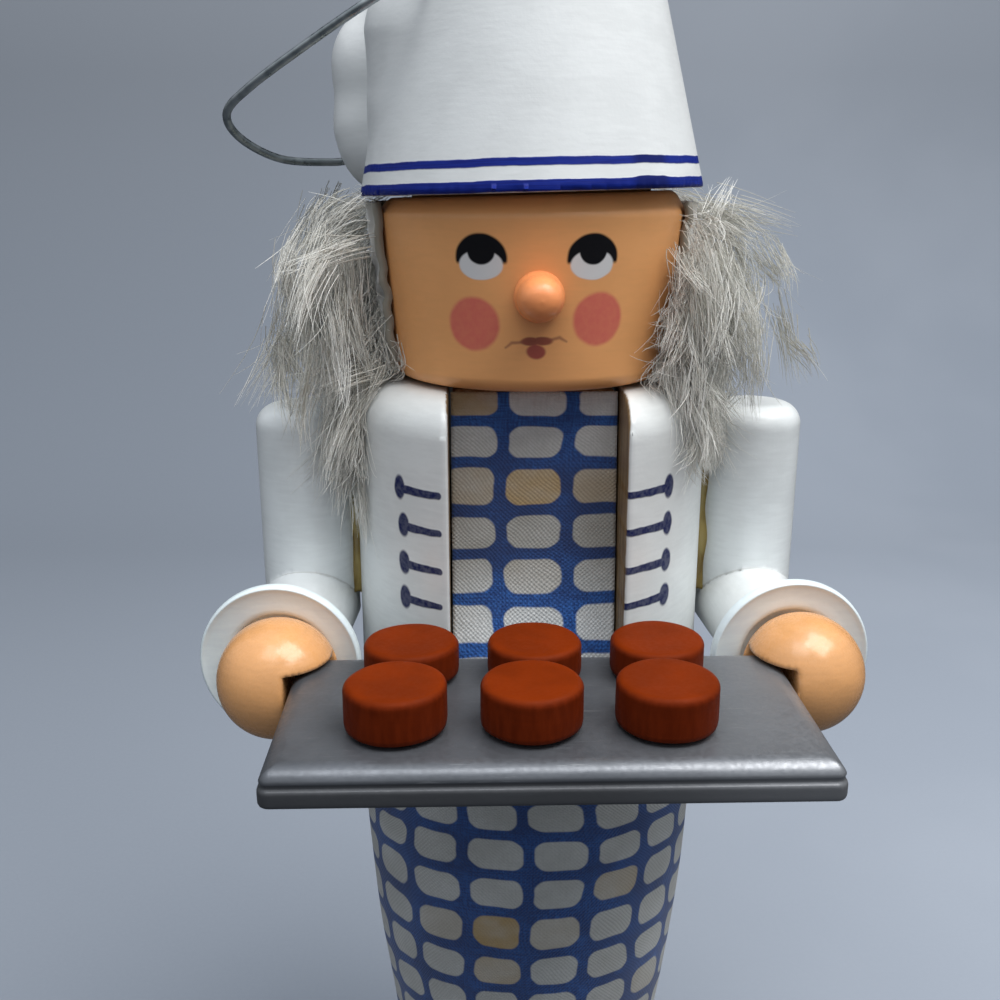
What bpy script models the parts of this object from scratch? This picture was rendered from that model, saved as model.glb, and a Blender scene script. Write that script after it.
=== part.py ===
"""Nutcracker christmas ornament: a wooden baker who carries a tray of cakes.

Units are metres, +Z is up, and the figure faces -Y. The origin is on the surface it stands on,
under the middle of its bounding box. "Left" and "right" are the viewer's, looking along +Y.
The jaw lever turns on a pin across the body, and the wire hanger swings in an eye on the hat.
"""

import math

import bmesh
import bpy
from mathutils import Matrix, Vector

# Clearances
GLUE_GAP = 0.0003
LEVER_SIDE_CLEARANCE = 0.0003
LEVER_FLOOR_CLEARANCE = 0.0038
PIN_CLEARANCE = 0.0003
CUT_OVERRUN = 0.0020

# Shoes
SHOE_HEIGHT = 0.0097
SHOE_WIDTH = 0.0112
SHOE_LENGTH = 0.0230
SHOE_SPACING = 0.0122
SHOE_FORWARD = 0.0060
SHOE_CROWN = 0.0012
SHOE_MIDDLE_HEIGHT = 0.0032

# Body, turned in one piece: jacket above, tapering skirt below
BODY_HEIGHT = 0.0849
TORSO_RADIUS = 0.0169
SHOULDER_ROUNDING = 0.0035
SLOT_WIDTH = 0.0154

# Cloth glued round the skirt
SKIRT_HEM_RISE = 0.0025
SKIRT_LENGTH = 0.0462
SKIRT_TOP_RADIUS = 0.0173
SKIRT_HEM_RADIUS = 0.0122
CLOTH_THICKNESS = 0.0004

# Jaw lever: a block in the slot with a handle down the back
LEVER_PIVOT_BACK = 0.0010
LEVER_PIVOT_DROP = 0.0209
LEVER_PIN_RADIUS = 0.0011
LEVER_PIN_INSET = 0.0010
JAW_TOP_BACK = 0.0074
JAW_FOOT_FORWARD = 0.0031
JAW_HEIGHT = 0.0304
JAW_TABLE = 0.0046
LEVER_SHOULDER_DROP = 0.0129
LEVER_NECK_INSET = 0.0086
HANDLE_THICKNESS = 0.0043
HANDLE_WIDTH = 0.0104
HANDLE_BACK_REACH = 0.0226
HANDLE_LENGTH = 0.0330
HANDLE_CORNER = 0.0014
BIB_MARGIN = 0.0002

# Head
HEAD_HEIGHT = 0.0158
HEAD_TOP_RADIUS = 0.0144
HEAD_LOW_RADIUS = 0.0129
HEAD_ROUNDING = 0.0014
TENON_RADIUS = 0.0110
TENON_HEIGHT = 0.0030
NOSE_BASE_RADIUS = 0.00205
NOSE_BASE_REACH = 0.0005
NOSE_BELLY_RADIUS = 0.0018
NOSE_BELLY_REACH = 0.0014
NOSE_TIP_RADIUS = 0.0013
NOSE_REACH = 0.0046
NOSE_DROP = 0.0075
NOSE_PEG_RADIUS = 0.0009
NOSE_PEG_LENGTH = 0.0040

# Hat
HAT_BRIM_RADIUS = 0.01575
HAT_BAND_TOP_RADIUS = 0.0121
HAT_BAND_HEIGHT = 0.0165
HAT_TILT = math.radians(1.5)
HAT_CROWN_RISE = 0.0040
HAT_SOCKET_CLEARANCE = 0.0005
# Puffs of the crown: offset from the middle of the band's top edge, and half sizes
LEFT_PUFF_OFFSET = (-0.0080, -0.0021, -0.0036)
LEFT_PUFF_SIZE = (0.0077, 0.0085, 0.0050)
REAR_LOBE_OFFSET = (-0.0125, 0.0085, -0.0074)
REAR_LOBE_SIZE = (0.0065, 0.0060, 0.0086)
BACK_PUFF_OFFSET = (0.0018, 0.0094, -0.0024)
BACK_PUFF_SIZE = (0.0097, 0.0073, 0.0052)

# Wire hanger and its eye
EYE_RING_RADIUS = 0.0018
EYE_WIRE_RADIUS = 0.00045
EYE_SHANK_LENGTH = 0.0070
HOOK_WIRE_RADIUS = 0.00038
HOOK_LOOP_RADIUS = 0.0013
HOOK_LOOP_START = -20.0
HOOK_LOOP_TURN = 290.0
HOOK_POINT_SPACING = 0.0016
HOOK_DROOP = math.radians(32.0)

# Arms, cuffs and hands
ARM_RADIUS = 0.0047
ARM_TOP_DROP = 0.0028
ARM_DOME_RISE = 0.0018
FOREARM_DROP = 0.0233
FOREARM_SPLAY = math.radians(3.5)
CUFF_RADIUS = 0.0072
CUFF_DEPTH = 0.0040
CUFF_RIM = 0.0011
CUFF_EDGE = 0.0004
CUFF_WAIST_RADIUS = 0.0060
CUFF_WAIST_DEPTH = 0.0022
CUFF_DISH_RADIUS = 0.0055
CUFF_DISH_FLOOR_RADIUS = 0.0044
CUFF_DISH_DEPTH = 0.0011
HAND_RADIUS = 0.0052
# The hand's middle is this far in front of the tray's back edge, and the cuff this far behind that
HAND_SEAT = 0.0011
CUFF_SEAT = 0.0029
# The left hand's ball is glued this far off the middle of its cuff, towards the tray
HAND_OFFSETS = {"left": 0.0006, "right": 0.0}

# Tray and cakes. The tray's edge is this far from each hand's middle, towards the body
TRAY_GRIP = 0.0021
TRAY_DEPTH = 0.0200
TRAY_THICKNESS = 0.0030
TRAY_EDGE_ROUNDING = 0.0007
TRAY_TOP_DROP = 0.0216
CAKE_RADIUS = 0.0039
CAKE_EDGE_ROUNDING = 0.0005
CAKE_COLUMN_SPACING = 0.01015
CAKE_ROW_SPACING = 0.0090
CAKE_FRONT_MARGIN = 0.0026
# Of the front row, then of the back row
CAKE_ROW_HEIGHTS = (0.0035, 0.0029)
CAKE_ROW_OFFSETS = (-0.0013, -0.0006)

# Fur strip glued round the back of the head
FUR_BACK_THICKNESS = 0.0046
FUR_BACK_RISE = 0.0016
FUR_TOP_TAPER = 0.0014
FUR_BOTTOM_TAPER = 0.0021
FUR_BULGE_HEIGHT = 0.0060
FUR_TOP_CLEARANCE = 0.0008
FUR_LEFT_THICKNESS = 0.0047
FUR_LEFT_REACH = 0.0082
FUR_LEFT_LENGTH = 0.0102
FUR_RIGHT_THICKNESS = 0.0058
FUR_RIGHT_REACH = 0.0122
FUR_RIGHT_LENGTH = 0.0142
# Along a side lock, from its tip to the back of the head: how far it is in front of the axis,
# its share of the lock's spread, and its share of the lock's thickness
LOCK_FORWARD = (0.0112, 0.0118, 0.0114, 0.0072, 0.0010, -0.0065)
LOCK_SPREAD = (0.98, 1.00, 1.03, 1.05, 1.00, 0.92)
LOCK_FULLNESS = (0.25, 0.72, 0.95, 1.00, 0.96, 0.80)
LOCK_POINT_SPACING = 0.0032

# Dowels
DOWEL_RADIUS = 0.0010
DOWEL_LENGTH = 0.0060
ELBOW_DOWEL_LENGTH = 0.0048

# Heights of the stack, from the sole up
BODY_BOTTOM = SHOE_HEIGHT + GLUE_GAP
BODY_TOP = BODY_BOTTOM + BODY_HEIGHT
HEAD_BOTTOM = BODY_TOP + GLUE_GAP
HEAD_TOP = HEAD_BOTTOM + HEAD_HEIGHT
HAT_BOTTOM = HEAD_TOP + GLUE_GAP + HEAD_TOP_RADIUS * math.sin(HAT_TILT)
HEM_HEIGHT = BODY_BOTTOM + SKIRT_HEM_RISE
SKIRT_TOP = HEM_HEIGHT + SKIRT_LENGTH
TRAY_TOP = BODY_TOP - TRAY_TOP_DROP
FOREARM_HEIGHT = BODY_TOP - FOREARM_DROP
LEVER_PIVOT_HEIGHT = BODY_TOP - LEVER_PIVOT_DROP
JAW_BOTTOM = BODY_TOP - GLUE_GAP - JAW_HEIGHT
SLOT_FLOOR = JAW_BOTTOM - LEVER_FLOOR_CLEARANCE
HAT_TOP = HAT_BOTTOM + HAT_BAND_HEIGHT + HAT_CROWN_RISE
EYE_HEIGHT = HAT_TOP + GLUE_GAP + EYE_WIRE_RADIUS + EYE_RING_RADIUS

# Reaches in front of and behind the body's axis
TRAY_BACK = TORSO_RADIUS + GLUE_GAP
TRAY_FRONT = TRAY_BACK + TRAY_DEPTH
HAND_REACH = TRAY_BACK + HAND_SEAT
CUFF_FRONT_REACH = HAND_REACH - CUFF_SEAT
AXIS_Y = (TRAY_FRONT - HANDLE_BACK_REACH) / 2
AXIS = Vector((0.0, AXIS_Y, 0.0))
ARM_X = TORSO_RADIUS + GLUE_GAP + ARM_RADIUS
HAND_X = ARM_X + HAND_REACH * math.sin(FOREARM_SPLAY)
TRAY_WIDTH = 2 * (HAND_X - TRAY_GRIP)
SIDES = (("left", -1), ("right", 1))

# Segments round each turned piece, and rings of each ball
LARGE_SEGMENTS = 36
MEDIUM_SEGMENTS = 24
SMALL_SEGMENTS = 16
WIRE_SEGMENTS = 12
SKIRT_STEPS = 4
HOOK_LOOP_STEPS = 14
HAND_RINGS = 10
PUFF_RINGS = 9
SHOE_RINGS = 8


# Scene and materials

def clear_scene():
    """Remove every object of the scene."""
    for item in list(bpy.data.objects):
        bpy.data.objects.remove(item, do_unlink=True)


def new_collection(name):
    """Make a collection in the scene."""
    collection = bpy.data.collections.new(name)
    bpy.context.scene.collection.children.link(collection)
    return collection


def make_material(name, colour, roughness, metallic=0.0):
    """Make a Principled BSDF material."""
    material = bpy.data.materials.new(name)
    material.use_nodes = True
    shader = material.node_tree.nodes["Principled BSDF"]
    shader.inputs["Base Color"].default_value = (*colour, 1.0)
    shader.inputs["Roughness"].default_value = roughness
    shader.inputs["Metallic"].default_value = metallic
    return material


clear_scene()
PARTS = new_collection("nutcracker_ornament")
CUTTERS = new_collection("cutters")

WHITE_PAINT = make_material("white_paint", (0.80, 0.82, 0.82), 0.35)
SKIN_PAINT = make_material("skin_paint", (0.62, 0.33, 0.19), 0.4)
NOSE_PAINT = make_material("nose_paint", (0.86, 0.24, 0.11), 0.35)
HAND_PAINT = make_material("hand_paint", (0.80, 0.45, 0.24), 0.15)
GREY_PAINT = make_material("grey_paint", (0.17, 0.18, 0.20), 0.4)
CAKE_PAINT = make_material("cake_paint", (0.21, 0.04, 0.015), 0.4)
SHOE_PAINT = make_material("shoe_paint", (0.015, 0.015, 0.018), 0.25)
CLOTH = make_material("printed_cloth", (0.20, 0.27, 0.42), 0.9)
FUR = make_material("grey_fur", (0.42, 0.41, 0.36), 0.95)
BARE_WOOD = make_material("bare_wood", (0.50, 0.31, 0.15), 0.7)
STEEL = make_material("steel_wire", (0.45, 0.48, 0.48), 0.3, 1.0)


# Shape helpers

def add_object(name, mesh, material=None, collection=None):
    """Link a new object that holds the mesh."""
    item = bpy.data.objects.new(name, mesh)
    (collection or PARTS).objects.link(item)
    if material:
        mesh.materials.append(material)
    return item


def finish_bmesh(name, shape, material=None, collection=None):
    """Turn a bmesh into a linked object."""
    mesh = bpy.data.meshes.new(name)
    shape.to_mesh(mesh)
    shape.free()
    return add_object(name, mesh, material, collection)


def shade_round(item, angle=math.radians(35)):
    """Shade a round piece smooth and keep its sharp edges."""
    item.data.shade_smooth()
    item.data.set_sharp_from_angle(angle=angle)


def arc(centre_radius, centre_height, radius, start, end, steps):
    """Profile points along an arc, with angles in degrees from the outward direction."""
    points = []
    for step in range(steps + 1):
        angle = math.radians(start + (end - start) * step / steps)
        points.append((centre_radius + radius * math.cos(angle), centre_height + radius * math.sin(angle)))
    return points


def turned(name, profile, segments, material=None, collection=None):
    """Spin a profile of (radius, height) points, listed from top to bottom, about Z."""
    mesh = bpy.data.meshes.new(name)
    points = [(radius, 0.0, height) for radius, height in profile]
    edges = [(index, index + 1) for index in range(len(points) - 1)]
    mesh.from_pydata(points, edges, [])
    item = add_object(name, mesh, material, collection)
    screw = item.modifiers.new("turn", "SCREW")
    screw.axis = "Z"
    screw.angle = math.tau
    screw.steps = segments
    screw.render_steps = segments
    screw.use_merge_vertices = True
    screw.merge_threshold = 0.00001
    screw.use_smooth_shade = True
    return item


def cylinder(name, radius, start, end, segments=SMALL_SEGMENTS, material=None, collection=None):
    """A cylinder whose end faces are centred on two points."""
    axis = end - start
    shape = bmesh.new()
    bmesh.ops.create_cone(shape, cap_ends=True, segments=segments, radius1=radius, radius2=radius,
                          depth=axis.length)
    turn = Vector((0, 0, 1)).rotation_difference(axis.normalized()).to_matrix().to_4x4()
    bmesh.ops.transform(shape, matrix=Matrix.Translation((start + end) / 2) @ turn, verts=shape.verts)
    item = finish_bmesh(name, shape, material, collection)
    shade_round(item)
    return item


def box(name, low, high, material=None, collection=None):
    """A box between two corners."""
    low, high = Vector(low), Vector(high)
    shape = bmesh.new()
    bmesh.ops.create_cube(shape, size=1.0)
    bmesh.ops.scale(shape, vec=high - low, verts=shape.verts)
    bmesh.ops.translate(shape, vec=(low + high) / 2, verts=shape.verts)
    return finish_bmesh(name, shape, material, collection)


def ellipsoid(name, centre, radii, rings=10, material=None, collection=None):
    """An ellipsoid with its poles on Z."""
    shape = bmesh.new()
    bmesh.ops.create_uvsphere(shape, u_segments=2 * rings, v_segments=rings, radius=1.0)
    bmesh.ops.scale(shape, vec=radii, verts=shape.verts)
    bmesh.ops.translate(shape, vec=centre, verts=shape.verts)
    return finish_bmesh(name, shape, material, collection)


def smooth_route(points, spacing):
    """Points about evenly spaced along a smooth curve through the given (position, radius) pairs."""
    route = []
    last = len(points) - 1
    for index in range(last):
        before, start, end, after = (points[max(0, min(last, index + offset))] for offset in (-1, 0, 1, 2))
        steps = max(1, round((end[0] - start[0]).length / spacing))
        for step in range(steps):
            t = step / steps
            weights = (-t + 2 * t**2 - t**3, 2 - 5 * t**2 + 3 * t**3, t + 4 * t**2 - 3 * t**3, t**3 - t**2)
            places = (before[0], start[0], end[0], after[0])
            place = sum((weight * spot for weight, spot in zip(weights, places)), Vector()) / 2
            route.append((place, start[1] + (end[1] - start[1]) * t))
    route.append(points[last])
    return route


def tube(name, route, resolution, material):
    """A closed mesh tube along (position, radius) points."""
    curve = bpy.data.curves.new(name + "_curve", "CURVE")
    curve.dimensions = "3D"
    curve.bevel_depth = 1.0
    curve.bevel_resolution = resolution
    curve.use_fill_caps = True
    spline = curve.splines.new("POLY")
    spline.points.add(len(route) - 1)
    for point, (place, radius) in zip(spline.points, route):
        point.co = (*place, 1.0)
        point.radius = radius
    guide = bpy.data.objects.new(name + "_curve", curve)
    CUTTERS.objects.link(guide)
    return curve_to_mesh(guide, name, material)


def curve_to_mesh(guide, name, material=None, collection=None):
    """Replace a curve object by a mesh object with welded caps."""
    evaluated = guide.evaluated_get(bpy.context.evaluated_depsgraph_get())
    mesh = bpy.data.meshes.new_from_object(evaluated)
    mesh.name = name
    shape = bmesh.new()
    shape.from_mesh(mesh)
    bmesh.ops.remove_doubles(shape, verts=shape.verts, dist=0.000001)
    shape.to_mesh(mesh)
    shape.free()
    mesh.materials.clear()
    item = add_object(name, mesh, material, collection)
    item.matrix_world = guide.matrix_world
    bpy.data.objects.remove(guide, do_unlink=True)
    shade_round(item)
    return item


def extruded_outline(name, outline, half_width, material=None, collection=None):
    """A flat (y, z) outline extruded to both sides along X."""
    curve = bpy.data.curves.new(name + "_curve", "CURVE")
    curve.dimensions = "2D"
    curve.fill_mode = "BOTH"
    curve.extrude = half_width
    spline = curve.splines.new("POLY")
    spline.points.add(len(outline) - 1)
    for point, (y, z) in zip(spline.points, outline):
        point.co = (y, z, 0.0, 1.0)
    spline.use_cyclic_u = True
    guide = bpy.data.objects.new(name + "_curve", curve)
    # The curve's own X, Y and Z become the figure's Y, Z and X.
    guide.matrix_world = Matrix(((0, 0, 1, 0), (1, 0, 0, 0), (0, 1, 0, 0), (0, 0, 0, 1)))
    CUTTERS.objects.link(guide)
    bpy.context.view_layer.update()
    return curve_to_mesh(guide, name, material, collection)


def boolean(item, tool, operation="DIFFERENCE"):
    """Cut an object with a tool, or join the tool to it, and keep the tool as a guide."""
    modifier = item.modifiers.new(operation.lower(), "BOOLEAN")
    modifier.operation = operation
    modifier.solver = "EXACT"
    modifier.object = tool
    tool.hide_render = True
    tool.display_type = "WIRE"


def bore(item, name, radius, start, end, segments=SMALL_SEGMENTS):
    """Cut a round hole from one point to another."""
    boolean(item, cylinder(name, radius, start, end, segments, collection=CUTTERS))


def dowel_joint(name, centre, direction, pieces, length=DOWEL_LENGTH, radius=DOWEL_RADIUS):
    """A dowel across a glued joint, and its holes in the pieces on both sides."""
    half = direction.normalized() * length / 2
    end_room = direction.normalized() * GLUE_GAP
    for piece in pieces:
        hole_name = "{}_hole_{}".format(name, piece.name)
        bore(piece, hole_name, radius + GLUE_GAP, centre - half - end_room, centre + half + end_room)
    return cylinder(name, radius, centre - half, centre + half, material=BARE_WOOD)


def place(item, location, rotation=(0.0, 0.0, 0.0)):
    """Set an object down at a location."""
    item.location = location
    item.rotation_euler = rotation


# Body, skirt cloth and shoes

def skirt_radius(height):
    """The cloth's outer radius: a barrel curve from the waist to the hem."""
    share = (SKIRT_TOP - height) / SKIRT_LENGTH
    return SKIRT_TOP_RADIUS - (SKIRT_TOP_RADIUS - SKIRT_HEM_RADIUS) * share**2


def skirt_heights():
    """Heights from the waist down to the hem."""
    return [SKIRT_TOP - SKIRT_LENGTH * step / SKIRT_STEPS for step in range(SKIRT_STEPS + 1)]


def make_body():
    """The turned body, with the lever's slot sawn through it from front to back."""
    rounding = SHOULDER_ROUNDING
    profile = [(0.0, BODY_TOP)]
    profile += arc(TORSO_RADIUS - rounding, BODY_TOP - rounding, rounding, 90, 0, 4)
    profile.append((TORSO_RADIUS, SKIRT_TOP + GLUE_GAP))
    wood_inset = CLOTH_THICKNESS + GLUE_GAP
    profile.append((SKIRT_TOP_RADIUS - wood_inset, SKIRT_TOP + GLUE_GAP))
    for height in skirt_heights():
        profile.append((skirt_radius(height) - wood_inset, height))
    profile += [(SKIRT_HEM_RADIUS - wood_inset, BODY_BOTTOM), (0.0, BODY_BOTTOM)]
    body = turned("body", profile, LARGE_SEGMENTS, WHITE_PAINT)
    place(body, AXIS)
    half = SLOT_WIDTH / 2
    reach = 2 * TORSO_RADIUS
    low = (-half, AXIS_Y - reach, SLOT_FLOOR)
    high = (half, AXIS_Y + reach, BODY_TOP + rounding)
    boolean(body, box("slot_cutter", low, high, collection=CUTTERS))
    return body


def make_apron_skirt():
    """The printed cloth round the skirt, a thin sleeve."""
    outer = [(skirt_radius(height), height) for height in skirt_heights()]
    inner = [(radius - CLOTH_THICKNESS, height) for radius, height in reversed(outer)]
    skirt = turned("apron_skirt", outer + inner + outer[:1], LARGE_SEGMENTS, CLOTH)
    place(skirt, AXIS)


def make_shoes(body):
    """Two egg-shaped shoes under the body, cut flat below and above, each on a dowel."""
    for side, sign in SIDES:
        centre = AXIS + Vector((sign * SHOE_SPACING / 2, -SHOE_FORWARD, SHOE_MIDDLE_HEIGHT))
        radii = (SHOE_WIDTH / 2, SHOE_LENGTH / 2, SHOE_HEIGHT + SHOE_CROWN - SHOE_MIDDLE_HEIGHT)
        shoe = ellipsoid("shoe_" + side, centre, radii, SHOE_RINGS, SHOE_PAINT)
        reach = Vector((SHOE_WIDTH, SHOE_LENGTH, SHOE_HEIGHT))
        below = Vector((centre.x, centre.y, -SHOE_HEIGHT))
        above = Vector((centre.x, centre.y, 2 * SHOE_HEIGHT))
        boolean(shoe, box("sole_cutter_" + side, below - reach, below + reach, collection=CUTTERS))
        boolean(shoe, box("instep_cutter_" + side, above - reach, above + reach, collection=CUTTERS))
        shade_round(shoe)
        joint = Vector((centre.x, AXIS_Y - SHOE_FORWARD / 2, BODY_BOTTOM - GLUE_GAP / 2))
        dowel_joint("shoe_dowel_" + side, joint, Vector((0, 0, 1)), (shoe, body))


# Jaw lever, its pin and the printed bib

def jaw_face(height):
    """How far in front of the body's axis the jaw's wooden face is at a height."""
    share = (BODY_TOP - GLUE_GAP - height) / JAW_HEIGHT
    return JAW_TOP_BACK + JAW_FOOT_FORWARD * share


def lever_outline():
    """Side view of the lever: jaw block in front, handle down the back."""
    jaw_top = BODY_TOP - GLUE_GAP
    jaw_back = jaw_face(jaw_top) - JAW_TABLE
    handle_back = AXIS_Y + HANDLE_BACK_REACH
    handle_front = handle_back - HANDLE_THICKNESS
    shoulder = jaw_top - LEVER_SHOULDER_DROP
    elbow = JAW_BOTTOM + JAW_TABLE
    foot = shoulder - HANDLE_LENGTH
    corner = HANDLE_CORNER
    return [
        (AXIS_Y - jaw_face(jaw_top), jaw_top),
        (AXIS_Y - jaw_face(JAW_BOTTOM), JAW_BOTTOM),
        (AXIS_Y, JAW_BOTTOM),
        (AXIS_Y + TORSO_RADIUS - HANDLE_THICKNESS, elbow - corner),
        (handle_front, elbow),
        (handle_front, foot + corner),
        (handle_front + corner, foot),
        (handle_back - corner, foot),
        (handle_back, foot + corner),
        (handle_back, shoulder - HANDLE_THICKNESS),
        (handle_back - corner, shoulder - corner),
        (handle_front, shoulder),
        (AXIS_Y + TORSO_RADIUS - LEVER_NECK_INSET, shoulder + corner),
        (AXIS_Y - jaw_back, jaw_top),
    ]


def make_lever(body):
    """The jaw lever on its cross pin."""
    half = SLOT_WIDTH / 2 - LEVER_SIDE_CLEARANCE
    lever = extruded_outline("jaw_lever", lever_outline(), half, BARE_WOOD)
    handle_face = AXIS_Y + TORSO_RADIUS + GLUE_GAP
    for side, sign in SIDES:
        near, far = sorted((sign * HANDLE_WIDTH / 2, sign * SLOT_WIDTH))
        low = (near, handle_face, JAW_BOTTOM - HANDLE_LENGTH)
        high = (far, handle_face + SLOT_WIDTH, BODY_TOP)
        boolean(lever, box("handle_cutter_" + side, low, high, collection=CUTTERS))
    pivot = Vector((0.0, AXIS_Y + LEVER_PIVOT_BACK, LEVER_PIVOT_HEIGHT))
    through = Vector((TORSO_RADIUS + CUT_OVERRUN, 0.0, 0.0))
    hole_radius = LEVER_PIN_RADIUS + PIN_CLEARANCE
    bore(lever, "lever_bore", hole_radius, pivot - through, pivot + through)
    bore(body, "body_pin_bore", hole_radius, pivot - through, pivot + through)
    pin_end = Vector((TORSO_RADIUS - LEVER_PIN_INSET, 0.0, 0.0))
    cylinder("lever_pin", LEVER_PIN_RADIUS, pivot - pin_end, pivot + pin_end, material=STEEL)


def make_bib():
    """The printed cloth on the jaw's leaning face."""
    top = BODY_TOP - GLUE_GAP
    inner = GLUE_GAP
    outer = GLUE_GAP + CLOTH_THICKNESS
    outline = [
        (AXIS_Y - jaw_face(top) - outer, top),
        (AXIS_Y - jaw_face(JAW_BOTTOM) - outer, JAW_BOTTOM),
        (AXIS_Y - jaw_face(JAW_BOTTOM) - inner, JAW_BOTTOM),
        (AXIS_Y - jaw_face(top) - inner, top),
    ]
    half = SLOT_WIDTH / 2 - LEVER_SIDE_CLEARANCE - BIB_MARGIN
    extruded_outline("bib", outline, half, CLOTH)


# Head, nose and hat

def head_side_radius(height):
    """The head's radius on its sloping side."""
    share = (HEAD_TOP - height) / HEAD_HEIGHT
    return HEAD_TOP_RADIUS - (HEAD_TOP_RADIUS - HEAD_LOW_RADIUS) * share


def make_head(body):
    """The turned head with a tenon on top, doweled to both cheeks of the body."""
    edge = GLUE_GAP
    rounding = HEAD_ROUNDING
    low = HEAD_BOTTOM + rounding
    profile = [
        (0.0, HEAD_TOP + TENON_HEIGHT),
        (TENON_RADIUS, HEAD_TOP + TENON_HEIGHT),
        (TENON_RADIUS, HEAD_TOP),
        (HEAD_TOP_RADIUS - edge, HEAD_TOP),
        (HEAD_TOP_RADIUS, HEAD_TOP - edge),
    ]
    profile += arc(head_side_radius(low) - rounding, low, rounding, 0, -90, 5)
    profile.append((0.0, HEAD_BOTTOM))
    head = turned("head", profile, LARGE_SEGMENTS, SKIN_PAINT)
    place(head, AXIS)
    cheek_middle = (SLOT_WIDTH / 2 + head_side_radius(low) - rounding) / 2
    for side, sign in SIDES:
        joint = AXIS + Vector((sign * cheek_middle, 0.0, HEAD_BOTTOM - GLUE_GAP / 2))
        dowel_joint("head_dowel_" + side, joint, Vector((0, 0, 1)), (head, body))
    return head


def make_nose(head):
    """The turned nose on its peg, pointing forward."""
    height = HEAD_TOP - NOSE_DROP
    base = head_side_radius(height) + GLUE_GAP
    profile = [(0.0, NOSE_REACH)]
    tip = NOSE_TIP_RADIUS
    profile += arc(0.0, NOSE_REACH - tip, tip, 72, 18, 3)
    profile += [
        (NOSE_BELLY_RADIUS, NOSE_BELLY_REACH),
        (NOSE_BASE_RADIUS, NOSE_BASE_REACH),
        (NOSE_BASE_RADIUS, 0.0),
        (NOSE_PEG_RADIUS, 0.0),
        (NOSE_PEG_RADIUS, -NOSE_PEG_LENGTH),
        (0.0, -NOSE_PEG_LENGTH),
    ]
    nose = turned("nose", profile, SMALL_SEGMENTS, NOSE_PAINT)
    place(nose, AXIS + Vector((0.0, -base, height)), (math.pi / 2, 0.0, 0.0))
    mouth = AXIS + Vector((0.0, -base - CUT_OVERRUN, height))
    floor = AXIS + Vector((0.0, NOSE_PEG_LENGTH + GLUE_GAP - base, height))
    bore(head, "nose_hole", NOSE_PEG_RADIUS + GLUE_GAP, mouth, floor)


def make_hat():
    """The hat: a tapered band joined to a soft crown that droops over its left and back."""
    band_top = HAT_BAND_HEIGHT
    profile = [(0.0, band_top), (HAT_BAND_TOP_RADIUS, band_top), (HAT_BRIM_RADIUS, 0.0), (0.0, 0.0)]
    hat = turned("hat", profile, LARGE_SEGMENTS, WHITE_PAINT)
    band_middle = Vector((0.0, 0.0, band_top))
    puffs = (
        ("crown_cap", (0.0, 0.0, 0.0), (HAT_BAND_TOP_RADIUS, HAT_BAND_TOP_RADIUS, HAT_CROWN_RISE)),
        ("crown_left_puff", LEFT_PUFF_OFFSET, LEFT_PUFF_SIZE),
        ("crown_rear_lobe", REAR_LOBE_OFFSET, REAR_LOBE_SIZE),
        ("crown_back_puff", BACK_PUFF_OFFSET, BACK_PUFF_SIZE),
    )
    for name, offset, half_size in puffs:
        puff = ellipsoid(name, band_middle + Vector(offset), half_size, PUFF_RINGS, collection=CUTTERS)
        puff.parent = hat
        boolean(hat, puff, "UNION")
    socket_radius = TENON_RADIUS + HAT_SOCKET_CLEARANCE
    depth = Vector((0.0, 0.0, TENON_HEIGHT + HAT_SOCKET_CLEARANCE))
    socket = cylinder("hat_socket", socket_radius, -depth, depth, LARGE_SEGMENTS, collection=CUTTERS)
    socket.parent = hat
    boolean(hat, socket)
    place(hat, AXIS + Vector((0.0, 0.0, HAT_BOTTOM)), (0.0, -HAT_TILT, 0.0))
    return hat


# Eye screw and wire hanger

def make_eye_screw(hat):
    """The eye on the hat's top, its shank in a hole."""
    centre = AXIS + Vector((0.0, 0.0, EYE_HEIGHT))
    section = arc(EYE_RING_RADIUS, 0.0, EYE_WIRE_RADIUS, 90, -270, 6)
    eye = turned("eye_screw", section, MEDIUM_SEGMENTS, STEEL)
    place(eye, centre, (math.pi / 2, 0.0, 0.0))
    shank_top = centre - Vector((0.0, 0.0, EYE_RING_RADIUS))
    shank_end = shank_top - Vector((0.0, 0.0, EYE_SHANK_LENGTH))
    shank = cylinder("eye_shank", EYE_WIRE_RADIUS, shank_end, shank_top, WIRE_SEGMENTS, collection=CUTTERS)
    boolean(eye, shank, "UNION")
    hole_end = shank_end - Vector((0.0, 0.0, GLUE_GAP))
    bore(hat, "eye_hole", EYE_WIRE_RADIUS + GLUE_GAP, hole_end, centre, WIRE_SEGMENTS)
    return centre


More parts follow.
